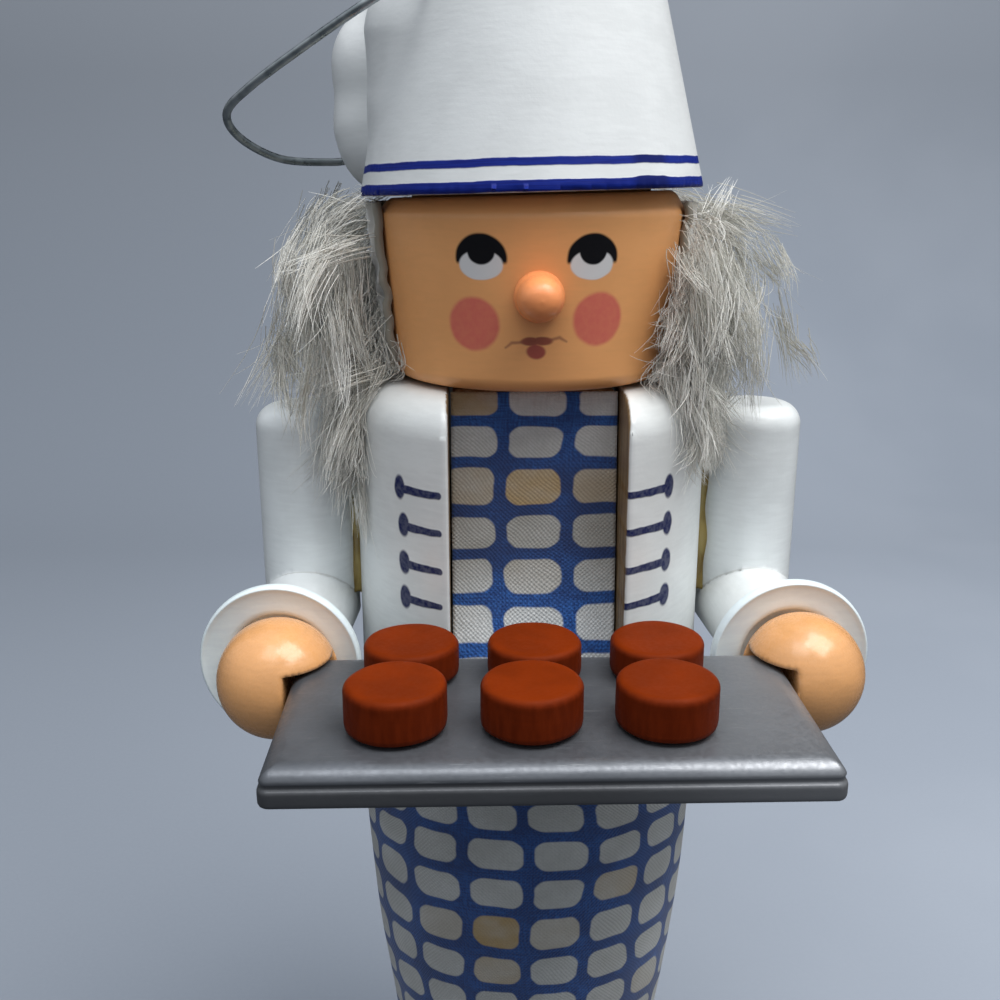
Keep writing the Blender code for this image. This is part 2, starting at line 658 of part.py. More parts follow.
def hook_route(centre):
    """The hanger's centre line: a small loop through the eye, then one wide open bend round the hat."""
    outward = Vector((-math.cos(HOOK_DROOP), 0.0, -math.sin(HOOK_DROOP)))
    forward = Vector((0.0, -1.0, 0.0))
    loop_centre = centre + outward * EYE_RING_RADIUS
    loop = []
    for step in range(HOOK_LOOP_STEPS + 1):
        angle = math.radians(HOOK_LOOP_START + HOOK_LOOP_TURN * step / HOOK_LOOP_STEPS)
        spot = outward * math.cos(angle) - forward * math.sin(angle)
        loop.append((loop_centre + HOOK_LOOP_RADIUS * spot, HOOK_WIRE_RADIUS))
    # The bend's own points, from the body's axis and the eye's height, chosen by hand.
    bend = (
        (-0.0050, -0.0050, -0.0026),
        (-0.0090, -0.0095, -0.0056),
        (-0.0135, -0.0110, -0.0084),
        (-0.0188, -0.0080, -0.0111),
        (-0.0245, -0.0040, -0.0141),
        (-0.0274, -0.0006, -0.0161),
        (-0.0270, 0.0030, -0.0181),
        (-0.0241, 0.0074, -0.0198),
        (-0.0199, 0.0120, -0.0200),
        (-0.0178, 0.0145, -0.0197),
    )
    corners = [loop[-1]]
    for point in bend:
        corners.append((centre + Vector(point), HOOK_WIRE_RADIUS))
    return loop[:-1] + smooth_route(corners, HOOK_POINT_SPACING)


def make_hanger(centre):
    """The bent steel wire hanger."""
    tube("hanger_hook", hook_route(centre), 1, STEEL)


# Arms, cuffs, hands, tray and cakes

def elbow_half(name, profile, location, rotation, elbow, is_forearm):
    """One turned arm piece, cut at 45 degrees through the elbow."""
    piece = turned(name, profile, MEDIUM_SEGMENTS, WHITE_PAINT)
    place(piece, location, rotation)
    reach = 4 * ARM_RADIUS
    size = Vector((reach, reach, reach))
    cutter = box(name + "_mitre", -size, size, collection=CUTTERS)
    beyond = Vector((0.0, -1.0, -1.0)).normalized() * (-1 if is_forearm else 1)
    place(cutter, elbow + beyond * (reach - GLUE_GAP / 2), (math.radians(45.0), 0.0, 0.0))
    boolean(piece, cutter)
    return piece


def make_arm(side, sign, body):
    """Upper arm, forearm, cuff and hand of one side, with their dowels."""
    axis = AXIS + Vector((sign * ARM_X, 0.0, 0.0))
    elbow = axis + Vector((0.0, 0.0, FOREARM_HEIGHT))
    arm_top = BODY_TOP - ARM_TOP_DROP
    upper_profile = []
    for degrees in (90, 60, 30, 0):
        angle = math.radians(degrees)
        height = arm_top - ARM_DOME_RISE * (1 - math.sin(angle))
        upper_profile.append((ARM_RADIUS * math.cos(angle), height))
    upper_profile += [
        (ARM_RADIUS, FOREARM_HEIGHT - 2 * ARM_RADIUS),
        (0.0, FOREARM_HEIGHT - 2 * ARM_RADIUS),
    ]
    upper = elbow_half("upper_arm_" + side, upper_profile, axis, (0.0, 0.0, 0.0), elbow, False)
    forearm_reach = CUFF_FRONT_REACH - CUFF_DEPTH - GLUE_GAP
    forearm_profile = [
        (0.0, forearm_reach),
        (ARM_RADIUS, forearm_reach),
        (ARM_RADIUS, -2 * ARM_RADIUS),
        (0.0, -2 * ARM_RADIUS),
    ]
    forward = (math.pi / 2, 0.0, sign * FOREARM_SPLAY)
    direction = Vector((sign * math.sin(FOREARM_SPLAY), -math.cos(FOREARM_SPLAY), 0.0))
    forearm = elbow_half("forearm_" + side, forearm_profile, elbow, forward, elbow, True)
    cuff = make_cuff(side, elbow, forward)
    hand = make_hand(side, sign, elbow, direction)
    shoulder_x = sign * (TORSO_RADIUS + ARM_X - ARM_RADIUS) / 2
    shoulder = Vector((shoulder_x, AXIS_Y, (arm_top + FOREARM_HEIGHT) / 2))
    dowel_joint("shoulder_dowel_" + side, shoulder, Vector((1, 0, 0)), (body, upper))
    dowel_joint("elbow_dowel_" + side, elbow, Vector((0, -1, -1)), (upper, forearm), ELBOW_DOWEL_LENGTH)
    wrist_middle = (forearm_reach + HAND_REACH) / 2
    dowel_joint("hand_dowel_" + side, elbow + wrist_middle * direction, direction,
                (forearm, cuff, hand), HAND_REACH - forearm_reach)


def make_cuff(side, elbow, forward):
    """A flared disc with a thin rim and a shallow dish for the hand."""
    front = CUFF_FRONT_REACH
    back = front - CUFF_DEPTH
    profile = [
        (0.0, front - CUFF_DISH_DEPTH),
        (CUFF_DISH_FLOOR_RADIUS, front - CUFF_DISH_DEPTH),
        (CUFF_DISH_RADIUS, front),
        (CUFF_RADIUS - CUFF_EDGE, front),
        (CUFF_RADIUS, front - CUFF_EDGE),
        (CUFF_RADIUS, front - CUFF_RIM),
        (CUFF_WAIST_RADIUS, front - CUFF_WAIST_DEPTH),
        (ARM_RADIUS + CUFF_EDGE, back),
        (0.0, back),
    ]
    cuff = turned("cuff_" + side, profile, MEDIUM_SEGMENTS, WHITE_PAINT)
    place(cuff, elbow, forward)
    return cuff


def make_hand(side, sign, elbow, direction):
    """A ball hand, seated in the cuff's dish and slotted for the tray."""
    centre = elbow + HAND_REACH * direction - Vector((sign * HAND_OFFSETS[side], 0.0, 0.0))
    radii = (HAND_RADIUS, HAND_RADIUS, HAND_RADIUS)
    hand = ellipsoid("hand_" + side, centre, radii, HAND_RINGS, HAND_PAINT)
    shade_round(hand)
    dish_floor = CUFF_FRONT_REACH - CUFF_DISH_DEPTH + GLUE_GAP
    reach = 2 * HAND_RADIUS
    cutter = box("wrist_cutter_" + side, (-reach, -dish_floor, -reach), (reach, 0.0, reach), collection=CUTTERS)
    place(cutter, elbow, (0.0, 0.0, sign * FOREARM_SPLAY))
    boolean(hand, cutter)
    tray_side = TRAY_WIDTH / 2 + GLUE_GAP
    near, far = sorted((sign * tray_side, 0.0))
    low = (near, AXIS_Y - TRAY_FRONT, TRAY_TOP - TRAY_THICKNESS - GLUE_GAP)
    high = (far, AXIS_Y - TRAY_BACK + GLUE_GAP, TRAY_TOP + GLUE_GAP)
    boolean(hand, box("tray_slot_" + side, low, high, collection=CUTTERS))
    return hand


def make_tray():
    """The flat tray with eased edges."""
    half = TRAY_WIDTH / 2
    low = (-half, AXIS_Y - TRAY_FRONT, TRAY_TOP - TRAY_THICKNESS)
    high = (half, AXIS_Y - TRAY_BACK, TRAY_TOP)
    tray = box("tray", low, high, GREY_PAINT)
    bevel = tray.modifiers.new("eased_edges", "BEVEL")
    bevel.width = TRAY_EDGE_ROUNDING
    bevel.segments = 2
    bevel.limit_method = "ANGLE"


def make_cakes():
    """Six round cakes in two rows, front row first."""
    rounding = CAKE_EDGE_ROUNDING
    base = TRAY_TOP + GLUE_GAP
    front_row = AXIS_Y - TRAY_FRONT + CAKE_FRONT_MARGIN + CAKE_RADIUS
    number = 1
    for row, height in enumerate(CAKE_ROW_HEIGHTS):
        profile = [(0.0, height)]
        profile += arc(CAKE_RADIUS - rounding, height - rounding, rounding, 90, 0, 2)
        profile += [(CAKE_RADIUS, 0.0), (0.0, 0.0)]
        for column in (-1, 0, 1):
            x = CAKE_ROW_OFFSETS[row] + column * CAKE_COLUMN_SPACING
            cake = turned("cake_{}".format(number), profile, MEDIUM_SEGMENTS, CAKE_PAINT)
            place(cake, (x, front_row + row * CAKE_ROW_SPACING, base))
            number += 1


# Fur hair

def lock_tube(name, sign, thickness, reach, length):
    """One side lock: from beside the head, over the arm, down in front of the shoulder."""
    side = sign * (HEAD_TOP_RADIUS + reach - thickness)
    crest = HEAD_TOP - FUR_TOP_CLEARANCE - thickness
    tip = BODY_TOP - length
    heights = (tip, (tip + BODY_TOP) / 2, BODY_TOP, (BODY_TOP + crest) / 2, crest, crest)
    corners = []
    for forward, spread, fullness, height in zip(LOCK_FORWARD, LOCK_SPREAD, LOCK_FULLNESS, heights):
        corners.append((AXIS + Vector((spread * side, -forward, height)), fullness * thickness))
    route = smooth_route(corners, LOCK_POINT_SPACING)
    lock = tube(name, route, 2, FUR)
    PARTS.objects.unlink(lock)
    CUTTERS.objects.link(lock)
    return lock


def make_hair():
    """The fur strip: a curtain round the back of the head, with a lock at each side."""
    top = HEAD_TOP - FUR_TOP_CLEARANCE
    bottom = BODY_TOP + FUR_BACK_RISE
    inner = HEAD_TOP_RADIUS + GLUE_GAP
    outer = inner + FUR_BACK_THICKNESS
    middle = (top + bottom) / 2
    profile = [
        (inner, top),
        (outer - FUR_TOP_TAPER, top),
        (outer, middle + FUR_BULGE_HEIGHT / 2),
        (outer, middle - FUR_BULGE_HEIGHT / 2),
        (outer - FUR_BOTTOM_TAPER, bottom),
        (inner, bottom),
        (inner, top),
    ]
    hair = turned("hair", profile, LARGE_SEGMENTS, FUR)
    place(hair, AXIS)
    reach = 2 * HEAD_TOP_RADIUS
    front_low = (-reach, AXIS_Y - reach, BODY_TOP - reach)
    front_high = (reach, AXIS_Y + FUR_BACK_THICKNESS / 2, HEAD_TOP + reach)
    boolean(hair, box("hair_front_cutter", front_low, front_high, collection=CUTTERS))
    boolean(hair, lock_tube("lock_left", -1, FUR_LEFT_THICKNESS, FUR_LEFT_REACH, FUR_LEFT_LENGTH), "UNION")
    boolean(hair, lock_tube("lock_right", 1, FUR_RIGHT_THICKNESS, FUR_RIGHT_REACH, FUR_RIGHT_LENGTH), "UNION")
    head_room = [
        (0.0, HAT_BOTTOM),
        (HEAD_TOP_RADIUS + GLUE_GAP, HAT_BOTTOM),
        (HEAD_TOP_RADIUS + GLUE_GAP, HEAD_BOTTOM - GLUE_GAP),
        (0.0, HEAD_BOTTOM - GLUE_GAP),
    ]
    cutter = turned("hair_head_room", head_room, LARGE_SEGMENTS, collection=CUTTERS)
    place(cutter, AXIS)
    boolean(hair, cutter)


def build():
    """Build every piece of the ornament."""
    body = make_body()
    make_apron_skirt()
    make_shoes(body)
    make_lever(body)
    make_bib()
    head = make_head(body)
    make_nose(head)
    hat = make_hat()
    make_hanger(make_eye_screw(hat))
    for side, sign in SIDES:
        make_arm(side, sign, body)
    make_tray()
    make_cakes()
    make_hair()


build()
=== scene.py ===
"""Looks of the nutcracker ornament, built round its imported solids.

Shapes are worked out in millimetres in the solids' own frame, and become metres when a mesh is made.
"Left" and "right" are the viewer's. Angles round the body's axis start at the front, positive to the right.
A profile is a list of (radius, height), from the bottom up.
"""

import itertools
import math

import bpy
import numpy as np
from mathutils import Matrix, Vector


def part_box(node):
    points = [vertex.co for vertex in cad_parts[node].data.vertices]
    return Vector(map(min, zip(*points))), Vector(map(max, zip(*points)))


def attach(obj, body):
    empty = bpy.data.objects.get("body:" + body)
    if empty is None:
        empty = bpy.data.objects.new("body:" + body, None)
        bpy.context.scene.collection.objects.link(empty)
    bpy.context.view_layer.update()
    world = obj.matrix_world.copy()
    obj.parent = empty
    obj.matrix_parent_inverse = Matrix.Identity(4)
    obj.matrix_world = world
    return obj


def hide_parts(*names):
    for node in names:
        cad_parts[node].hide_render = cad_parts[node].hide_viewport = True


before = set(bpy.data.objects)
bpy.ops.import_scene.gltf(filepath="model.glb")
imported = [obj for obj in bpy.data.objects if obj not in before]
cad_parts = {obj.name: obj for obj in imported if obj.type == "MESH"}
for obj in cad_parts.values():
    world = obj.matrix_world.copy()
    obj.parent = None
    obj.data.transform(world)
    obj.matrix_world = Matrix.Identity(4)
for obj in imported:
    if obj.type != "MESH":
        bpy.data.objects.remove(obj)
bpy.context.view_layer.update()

MM = 0.001


def span(node):
    """Lowest and highest corner of a solid, in millimetres."""
    low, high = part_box(node)
    return np.array(low) / MM, np.array(high) / MM


# Places and sizes read from the solids
BODY_LOW, BODY_HIGH = span("body")
SKIRT_LOW, SKIRT_HIGH = span("apron_skirt")
HEAD_LOW, HEAD_HIGH = span("head")
NOSE_LOW, NOSE_HIGH = span("nose")
TRAY_LOW, TRAY_HIGH = span("tray")
BIB_LOW, BIB_HIGH = span("bib")
LEVER_LOW, LEVER_HIGH = span("jaw_lever")
HAT_LOW, HAT_HIGH = span("hat")
EYE_HIGH = span("eye_screw")[1]
PIN_CENTRE = sum(span("lever_pin")) / 2
AXIS_Y = float(BODY_LOW[1] + BODY_HIGH[1]) / 2
TORSO_RADIUS = BODY_HIGH[0]
BODY_TOP = BODY_HIGH[2]
GAP = HEAD_LOW[2] - BODY_TOP

# Head and hat
TENON_HEIGHT = 3.0
TENON_RADIUS = 11.0
HEAD_BOTTOM = HEAD_LOW[2]
HEAD_TOP = HEAD_HIGH[2] - TENON_HEIGHT
HEAD_RADIUS = HEAD_HIGH[0]
HEAD_TAPER = 1.5
HEAD_ROUNDING = 1.4
HAT_TILT = math.radians(1.5)
HAT_BOTTOM = HEAD_TOP + GAP + HEAD_RADIUS * math.sin(HAT_TILT)
BRIM_RADIUS = 15.75
BAND_TOP_RADIUS = 12.1
BAND_HEIGHT = 16.5
CROWN_RISE = 4.0

# Jacket, skirt and lever
SHOULDER_ROUNDING = 3.5
SLOT_HALF = 7.7
SLOT_FLOOR = BIB_LOW[2] - 3.8
SKIRT_TOP = SKIRT_HIGH[2]
SKIRT_LENGTH = SKIRT_TOP - SKIRT_LOW[2]
SKIRT_TOP_RADIUS = SKIRT_HIGH[0]
HEM_RADIUS = 12.2
CLOTH_THICKNESS = 0.4
LEVER_SIDE_ROOM = 0.3
HANDLE_HALF = 5.2
PIN_BORE_RADIUS = 1.4
LEVER_OPEN_TOP = PIN_CENTRE[2] + 14.5

# Arms, cuffs and hands. A reach is a distance along the forearm from the elbow
ARM_RADIUS = 4.7
ARM_ROUNDING = 2.1
ARM_X = TORSO_RADIUS + GAP + ARM_RADIUS
ELBOW_HEIGHT = BODY_TOP - 23.3
ARM_TOP = BODY_TOP - 2.8
FOREARM_SPLAY = math.radians(3.5)
HAND_RADIUS = 5.2
HAND_REACH = TORSO_RADIUS + GAP + 1.1
HAND_OFFSETS = {"left": 0.6, "right": 0.0}
CUFF_FRONT = HAND_REACH - 2.9
CUFF_BACK = CUFF_FRONT - 4.0
DISH_DEPTH = 1.1
SIDES = (("left", -1), ("right", 1))


# Meshes

def new_item(name, points, faces, paint):
    """A smooth-shaded object from points in millimetres."""
    mesh = bpy.data.meshes.new(name)
    mesh.from_pydata((np.asarray(points) * MM).tolist(), [], np.asarray(faces).tolist())
    mesh.shade_smooth()
    mesh.materials.append(paint)
    item = bpy.data.objects.new(name, mesh)
    bpy.context.scene.collection.objects.link(item)
    return item


def piece(name, points, faces, paint, nodes=(), body="figure", slot=None):
    """A visible piece on one body, which may stand for solids of the frame."""
    item = new_item(name, points, faces, paint)
    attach(item, body)
    if nodes:
        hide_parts(*nodes)
    return item


def store(item, name, values):
    """Keep a number or vector for each point."""
    values = np.asarray(values, np.float32)
    kind, field = ("FLOAT", "value") if values.ndim == 1 else ("FLOAT_VECTOR", "vector")
    item.data.attributes.new(name, kind, "POINT").data.foreach_set(field, values.ravel())


def grid_faces(number):
    """Four-sided faces between the neighbours of a grid of point numbers."""
    corners = (number[:-1, :-1], number[1:, :-1], number[1:, 1:], number[:-1, 1:])
    return np.stack(corners, axis=-1).reshape(-1, 4)


def turned(profile, segments, wobble=0.0):
    """A lathe shape about +Z, whose ends are on the axis. The wobble is added to each segment's radius."""
    angles = np.arange(segments) * math.tau / segments
    radii, heights = np.array(profile).T[:, :, None]
    spread = np.broadcast_to(radii + wobble * (radii > 0), (len(profile), segments))
    points = np.stack([spread * np.cos(angles), spread * np.sin(angles), heights + 0 * spread], axis=-1)
    first = np.arange(len(profile) - 1)[:, None] * segments
    here = first + np.arange(segments)
    after = first + np.roll(np.arange(segments), -1)
    faces = np.stack([here, after, after + segments, here + segments], axis=-1)
    return points.reshape(-1, 3), faces.reshape(-1, 4)


def smooth_profile(points, steps):
    """More points along a profile, on a curve that passes through each of its own."""
    points = np.array(points, float)
    padded = np.vstack([points[0], points, points[-1]])
    result = []
    for index in range(len(points) - 1):
        before, start, end, after = padded[index:index + 4]
        bend = 2 * before - 5 * start + 4 * end - after
        twist = 3 * start - before - 3 * end + after
        for t in np.arange(steps) / steps:
            result.append(0.5 * (2 * start + (end - before) * t + bend * t**2 + twist * t**3))
    return np.array(result + [points[-1]])


def arc(centre, radius, start, end, steps):
    """Points of a profile on an arc, with angles in degrees from outward."""
    angles = np.radians(np.linspace(start, end, steps + 1))
    return [(centre[0] + radius * math.cos(angle), centre[1] + radius * math.sin(angle)) for angle in angles]


def implicit(distance, low, high, cell, rounds=5):
    """Points and four-sided faces of the surface where a distance function is zero."""
    low, high = np.array(low, float), np.array(high, float)
    counts = np.ceil((high - low) / cell).astype(int) + 1
    axes = [low[side] + cell * np.arange(counts[side]) for side in range(3)]
    grid = np.stack(np.meshgrid(*axes, indexing="ij"), axis=-1)
    inside = (distance(grid.reshape(-1, 3)) < 0).reshape(counts)
    corners = np.zeros(counts - 1, int)
    for shift in itertools.product((0, 1), repeat=3):
        corners += inside[tuple(slice(step, step + count - 1) for step, count in zip(shift, counts))]
    active = (corners > 0) & (corners < 8)
    number = np.full(active.shape, -1)
    number[active] = np.arange(active.sum())
    middles = low + cell * (np.argwhere(active) + 0.5)
    faces = []
    for side in range(3):
        one, other = np.roll(np.eye(3, dtype=int), -side - 1, axis=0)[:2]
        start = [slice(1, -1)] * 3
        start[side] = slice(0, -1)
        end = list(start)
        end[side] = slice(1, None)
        first, second = inside[tuple(start)], inside[tuple(end)]
        spots = np.argwhere(first != second) + one + other
        ring = (spots - one - other, spots - other, spots, spots - one)
        quads = np.stack([number[tuple(corner.T)] for corner in ring], axis=1)
        entering = ~first[first != second]
        quads[entering] = quads[entering][:, ::-1]
        faces.append(quads)
    points = middles.copy()
    for _ in range(rounds):
        slope = gradient(distance, points, cell * 0.2)
        points -= slope * (distance(points) / np.maximum((slope**2).sum(1), 0.05))[:, None]
        points = np.clip(points, middles - 0.8 * cell, middles + 0.8 * cell)
    return points, np.concatenate(faces)


def gradient(distance, points, step):
    """Which way a distance function grows at each point."""
    rises = [distance(points + shift) - distance(points - shift) for shift in np.eye(3) * step]
    return np.stack(rises, axis=1) / (2 * step)


# Distance functions, in millimetres, below zero inside

def smooth_union(one, other, reach):
    """Two shapes joined with a fillet."""
    share = np.clip(0.5 + 0.5 * (other - one) / reach, 0, 1)
    return other * (1 - share) + one * share - reach * share * (1 - share)


def common(one, other, reach):
    """What two shapes share, with an eased edge."""
    return -smooth_union(-one, -other, reach)


def box_distance(points, low, high):
    """A box between two corners."""
    low, high = np.array(low, float), np.array(high, float)
    beyond = np.abs(points - (low + high) / 2) - (high - low) / 2
    return np.linalg.norm(np.maximum(beyond, 0), axis=1) + np.minimum(beyond.max(1), 0)


def ellipsoid_distance(points, centre, radii):
    """An ellipsoid, nearly exact close to its surface."""
    scaled = (points - np.array(centre)) / np.array(radii)
    one = np.linalg.norm(scaled, axis=1)
    two = np.linalg.norm(scaled / np.array(radii), axis=1)
    return one * (one - 1) / np.maximum(two, 1e-6)


def rod_distance(points, start, end, start_radius, end_radius):
    """A round-ended rod whose thickness changes evenly."""
    start, end = np.array(start, float), np.array(end, float)
    axis = end - start
    share = np.clip((points - start) @ axis / (axis @ axis), 0, 1)
    nearest = start + share[:, None] * axis
    return np.linalg.norm(points - nearest, axis=1) - (start_radius + (end_radius - start_radius) * share)


def drum_distance(reach, height, radius, low, high, low_rounding, high_rounding):
    """A cylinder from its radial reach and height, with its own rounding at each end."""
    middle = (low + high) / 2
    rounding = np.where(height > middle, high_rounding, low_rounding)
    out = reach - radius + rounding
    along = np.abs(height - middle) - (high - low) / 2 + rounding
    outside = np.hypot(np.maximum(out, 0), np.maximum(along, 0))
    return outside + np.minimum(np.maximum(out, along), 0) - rounding


def outline_distance(across, up, outline):
    """Distance to a closed flat outline."""
    spots = np.stack([across, up], axis=1)
    nearest = np.full(len(spots), np.inf)
    inside = np.zeros(len(spots), bool)
    for start, end in zip(outline, np.roll(outline, -1, axis=0)):
        edge = end - start
        share = np.clip((spots - start) @ edge / (edge @ edge), 0, 1)
        nearest = np.minimum(nearest, np.linalg.norm(spots - start - share[:, None] * edge, axis=1))
        crossing = (start[1] > spots[:, 1]) != (end[1] > spots[:, 1])
        if edge[1]:
            inside ^= crossing & (spots[:, 0] < start[0] + (spots[:, 1] - start[1]) * edge[0] / edge[1])
    return np.where(inside, -nearest, nearest)


def ripple(points, size, seed):
    """A soft random field of about -1 to 1 at each point, from a few waves of about one size."""
    waves = np.random.default_rng(seed)
    total = np.zeros(points.shape[:-1])
    for _ in range(9):
        direction = waves.normal(size=3)
        direction *= waves.uniform(0.6, 1.5) / np.linalg.norm(direction)
        total += np.sin(points @ direction * math.tau / size + waves.uniform(0, math.tau))
    return total / 3.5


# Materials

class Value:
    """A node's output. Arithmetic on it makes more nodes."""

    def __init__(self, nodes, socket):
        self.nodes = nodes
        self.socket = socket

    def math(self, operation, *others):
        """A math node whose first input is this value."""
        return self.nodes.made("Math", dict(enumerate((self, *others))), operation=operation)

    def vector(self, operation, *others, output=0):
        """A vector math node whose first input is this value."""
        return self.nodes.made("VectorMath", dict(enumerate((self, *others))), output, operation=operation)

    def __add__(self, other):
        return self.math("ADD", other)

    def __sub__(self, other):
        return self.math("SUBTRACT", other)

    def __rsub__(self, other):
        return self.nodes.made("Math", {0: other, 1: self}, operation="SUBTRACT")

    def __mul__(self, other):
        return self.math("MULTIPLY", other)

    def __or__(self, other):
        return self.math("MAXIMUM", other)

    def __abs__(self):
        return self.math("ABSOLUTE")

    def length(self):
        """Length of a vector."""
        return self.vector("LENGTH", output=1)

    def split(self):
        """The three parts of a vector."""
        first = self.nodes.made("SeparateXYZ", {0: self})
        return [Value(self.nodes, output) for output in first.socket.node.outputs]

    def noise(self, scale, detail=2.0, roughness=0.5, output="Fac"):
        """A noise texture at this place."""
        inputs = {"Vector": self, "Scale": scale, "Detail": detail, "Roughness": roughness}
        return self.nodes.made("TexNoise", inputs, output)

    def fade(self, low, high, to_low=0.0, to_high=1.0):
        """A smooth step from one value to another."""
        inputs = {"Value": self, "From Min": low, "From Max": high, "To Min": to_low, "To Max": to_high}
        return self.nodes.made("MapRange", inputs, interpolation_type="SMOOTHSTEP")

    def mix(self, first, second):
        """Two colours mixed. This value is the second one's share."""
        return self.nodes.made("Mix", {0: self, 6: first, 7: second}, 2, data_type="RGBA")

    def shaken(self, size, reach):
        """A flat place moved a little at random, as by an unsteady hand."""
        shift = self.noise(1 / size, 1.0, output="Color").vector("SUBTRACT", (0.5, 0.5, 0.5))
        return self.vector("ADD", shift.vector("MULTIPLY", (2 * reach, 2 * reach, 0.0)))

    def oval(self, centre, radii, softness=0.08):
        """Where a flat place lies in an oval."""
        scaled = self.vector("SUBTRACT", (*centre, 0.0)).vector("DIVIDE", (*radii, 1.0))
        return scaled.length().fade(1 + softness, 1 - softness)

    def stroke(self, start, end, start_width, end_width, softness=0.08):
        """Where a flat place lies in a brush stroke between two points."""
        run = Vector((end[0] - start[0], end[1] - start[1], 0.0))
        offset = self.vector("SUBTRACT", (*start, 0.0))
        share = offset.vector("DOT_PRODUCT", run, output=1).math("DIVIDE", run.length_squared)
        share = share.math("MAXIMUM", 0.0).math("MINIMUM", 1.0)
        nearest = self.nodes.made("VectorMath", {0: run, "Scale": share}, operation="SCALE")
        half = share * ((end_width - start_width) / 2) + start_width / 2
        return (offset.vector("SUBTRACT", nearest).length() - half).fade(softness, -softness)


class Nodes:
    """A node tree under construction."""

    def __init__(self, tree):
        self.tree = tree

    def join(self, value, socket):
        """Link a value, or set a plain one."""
        if isinstance(value, Value):
            self.tree.links.new(value.socket, socket)
        elif socket.type == "RGBA":
            socket.default_value = (*value, 1.0)
        else:
            socket.default_value = value

    def made(self, kind, inputs, output=0, **settings):
        """One output of a new node, given its inputs by name or number."""
        node = self.tree.nodes.new("ShaderNode" + kind)
        for name, value in settings.items():
            setattr(node, name, value)
        for name, value in inputs.items():
            self.join(value, node.inputs[name])
        return Value(self, node.outputs[output])


class Paint(Nodes):
    """A Principled material. Its colour, gloss and height are set before it is finished."""

    def __init__(self, name, depth=0.02, **settings):
        self.material = bpy.data.materials.new(name)
        self.material.use_nodes = True
        super().__init__(self.material.node_tree)
        self.depth = depth
        self.strength = 1.0
        for socket, value in settings.items():
            self.set(socket.replace("_", " "), value)

    def set(self, socket, value):
        """Give the shader a value or a link."""
        self.join(value, self.tree.nodes["Principled BSDF"].inputs[socket])

    def cover(self, mask, colour):
        """Put another colour on where a mask is 1."""
        self.colour = mask.mix(self.colour, colour)

    def finish(self):
        """Connect the colour, gloss and relief. The depth of the relief is in millimetres."""
        relief = {"Height": self.height, "Distance": self.depth * MM, "Strength": self.strength}
        self.set("Base Color", self.colour)
        self.set("Roughness", self.gloss)
        self.set("Normal", self.made("Bump", relief))
        return self.material

    def place(self, *stretch):
        """The piece's own coordinates in millimetres, each axis multiplied."""
        spot = self.made("TexCoord", {}, "Object")
        return spot.vector("MULTIPLY", [share / MM for share in stretch or (1, 1, 1)])

    def attribute(self, name, output="Fac"):
        """A value stored on the mesh."""
        return self.made("Attribute", {}, output, attribute_name=name)

    def flat(self, x, y):
        """A flat place."""
        return self.made("CombineXYZ", {0: x, 1: y})

    def around(self):
        """Angle round the body's axis."""
        x, y, _ = self.place().split()
        return x.math("ARCTAN2", AXIS_Y - y)

    def axis_reach(self):
        """Distance from the body's axis."""
        x, y, _ = self.place().split()
        return self.flat(x, y - AXIS_Y).length()

    def unrolled(self, radius):
        """Arc length round the body's axis, and height, as a flat place."""
        return self.flat(self.around() * radius, self.place().split()[2])


def either(masks):
    """The strongest of several masks."""
    result = masks[0]
    for mask in masks[1:]:
        result = result | mask
    return result


def painted(name, colour, roughness, depth=0.02, mottle=0.06, coat=0.0):
    """Paint on turned wood: a faint mottle, lathe streaks and a slightly uneven gloss."""
    paint = Paint(name, depth, Coat_Weight=coat, Coat_Roughness=0.12)
    cloud = paint.place().noise(0.22, 4)
    streak = paint.place(0.5, 0.5, 3).noise(0.9, 3)
    fine = paint.place().noise(2.6, 3)
    darker = [part * (1 - mottle) for part in colour]
    lighter = [min(1.0, part * (1 + 0.4 * mottle)) for part in colour]
    paint.colour = (cloud * 0.65 + streak * 0.35).fade(0.36, 0.62).mix(darker, lighter)
    paint.gloss = fine.fade(0.3, 0.7, roughness - 0.06, roughness + 0.08)
    paint.height = streak * 0.5 + fine * 0.5
    return paint


def wood_grain(paint, dark, light):
    """Colour, gloss and height of bare wood with long upright grain, pores and handling dirt."""
    spot = paint.place(1, 1, 0.10)
    bent = spot.vector("ADD", spot.noise(0.5, output="Color").vector("MULTIPLY", (1.6, 1.6, 0)))
    rings = bent.noise(1.3, 4, 0.55)
    pores = paint.place(5, 5, 0.35).noise(1.3)
    colour = rings.fade(0.35, 0.65).mix(dark, light)
    colour = pores.fade(0.60, 0.78, 0.0, 0.55).mix(colour, [part * 0.5 for part in dark])
    dirt = paint.place().noise(0.3, 3).fade(0.45, 0.75, 0.0, 0.35)
    colour = dirt.mix(colour, [part * 0.6 for part in dark])
    return colour, pores.fade(0.3, 0.7, 0.58, 0.78), rings - pores


NAVY = (0.012, 0.018, 0.085)
FASTENING_DROPS = (8.1, 11.5, 15.0, 18.3)
FASTENING_INNER = {"left": 9.0, "right": 7.9}
FASTENING_OUTER = 13.0


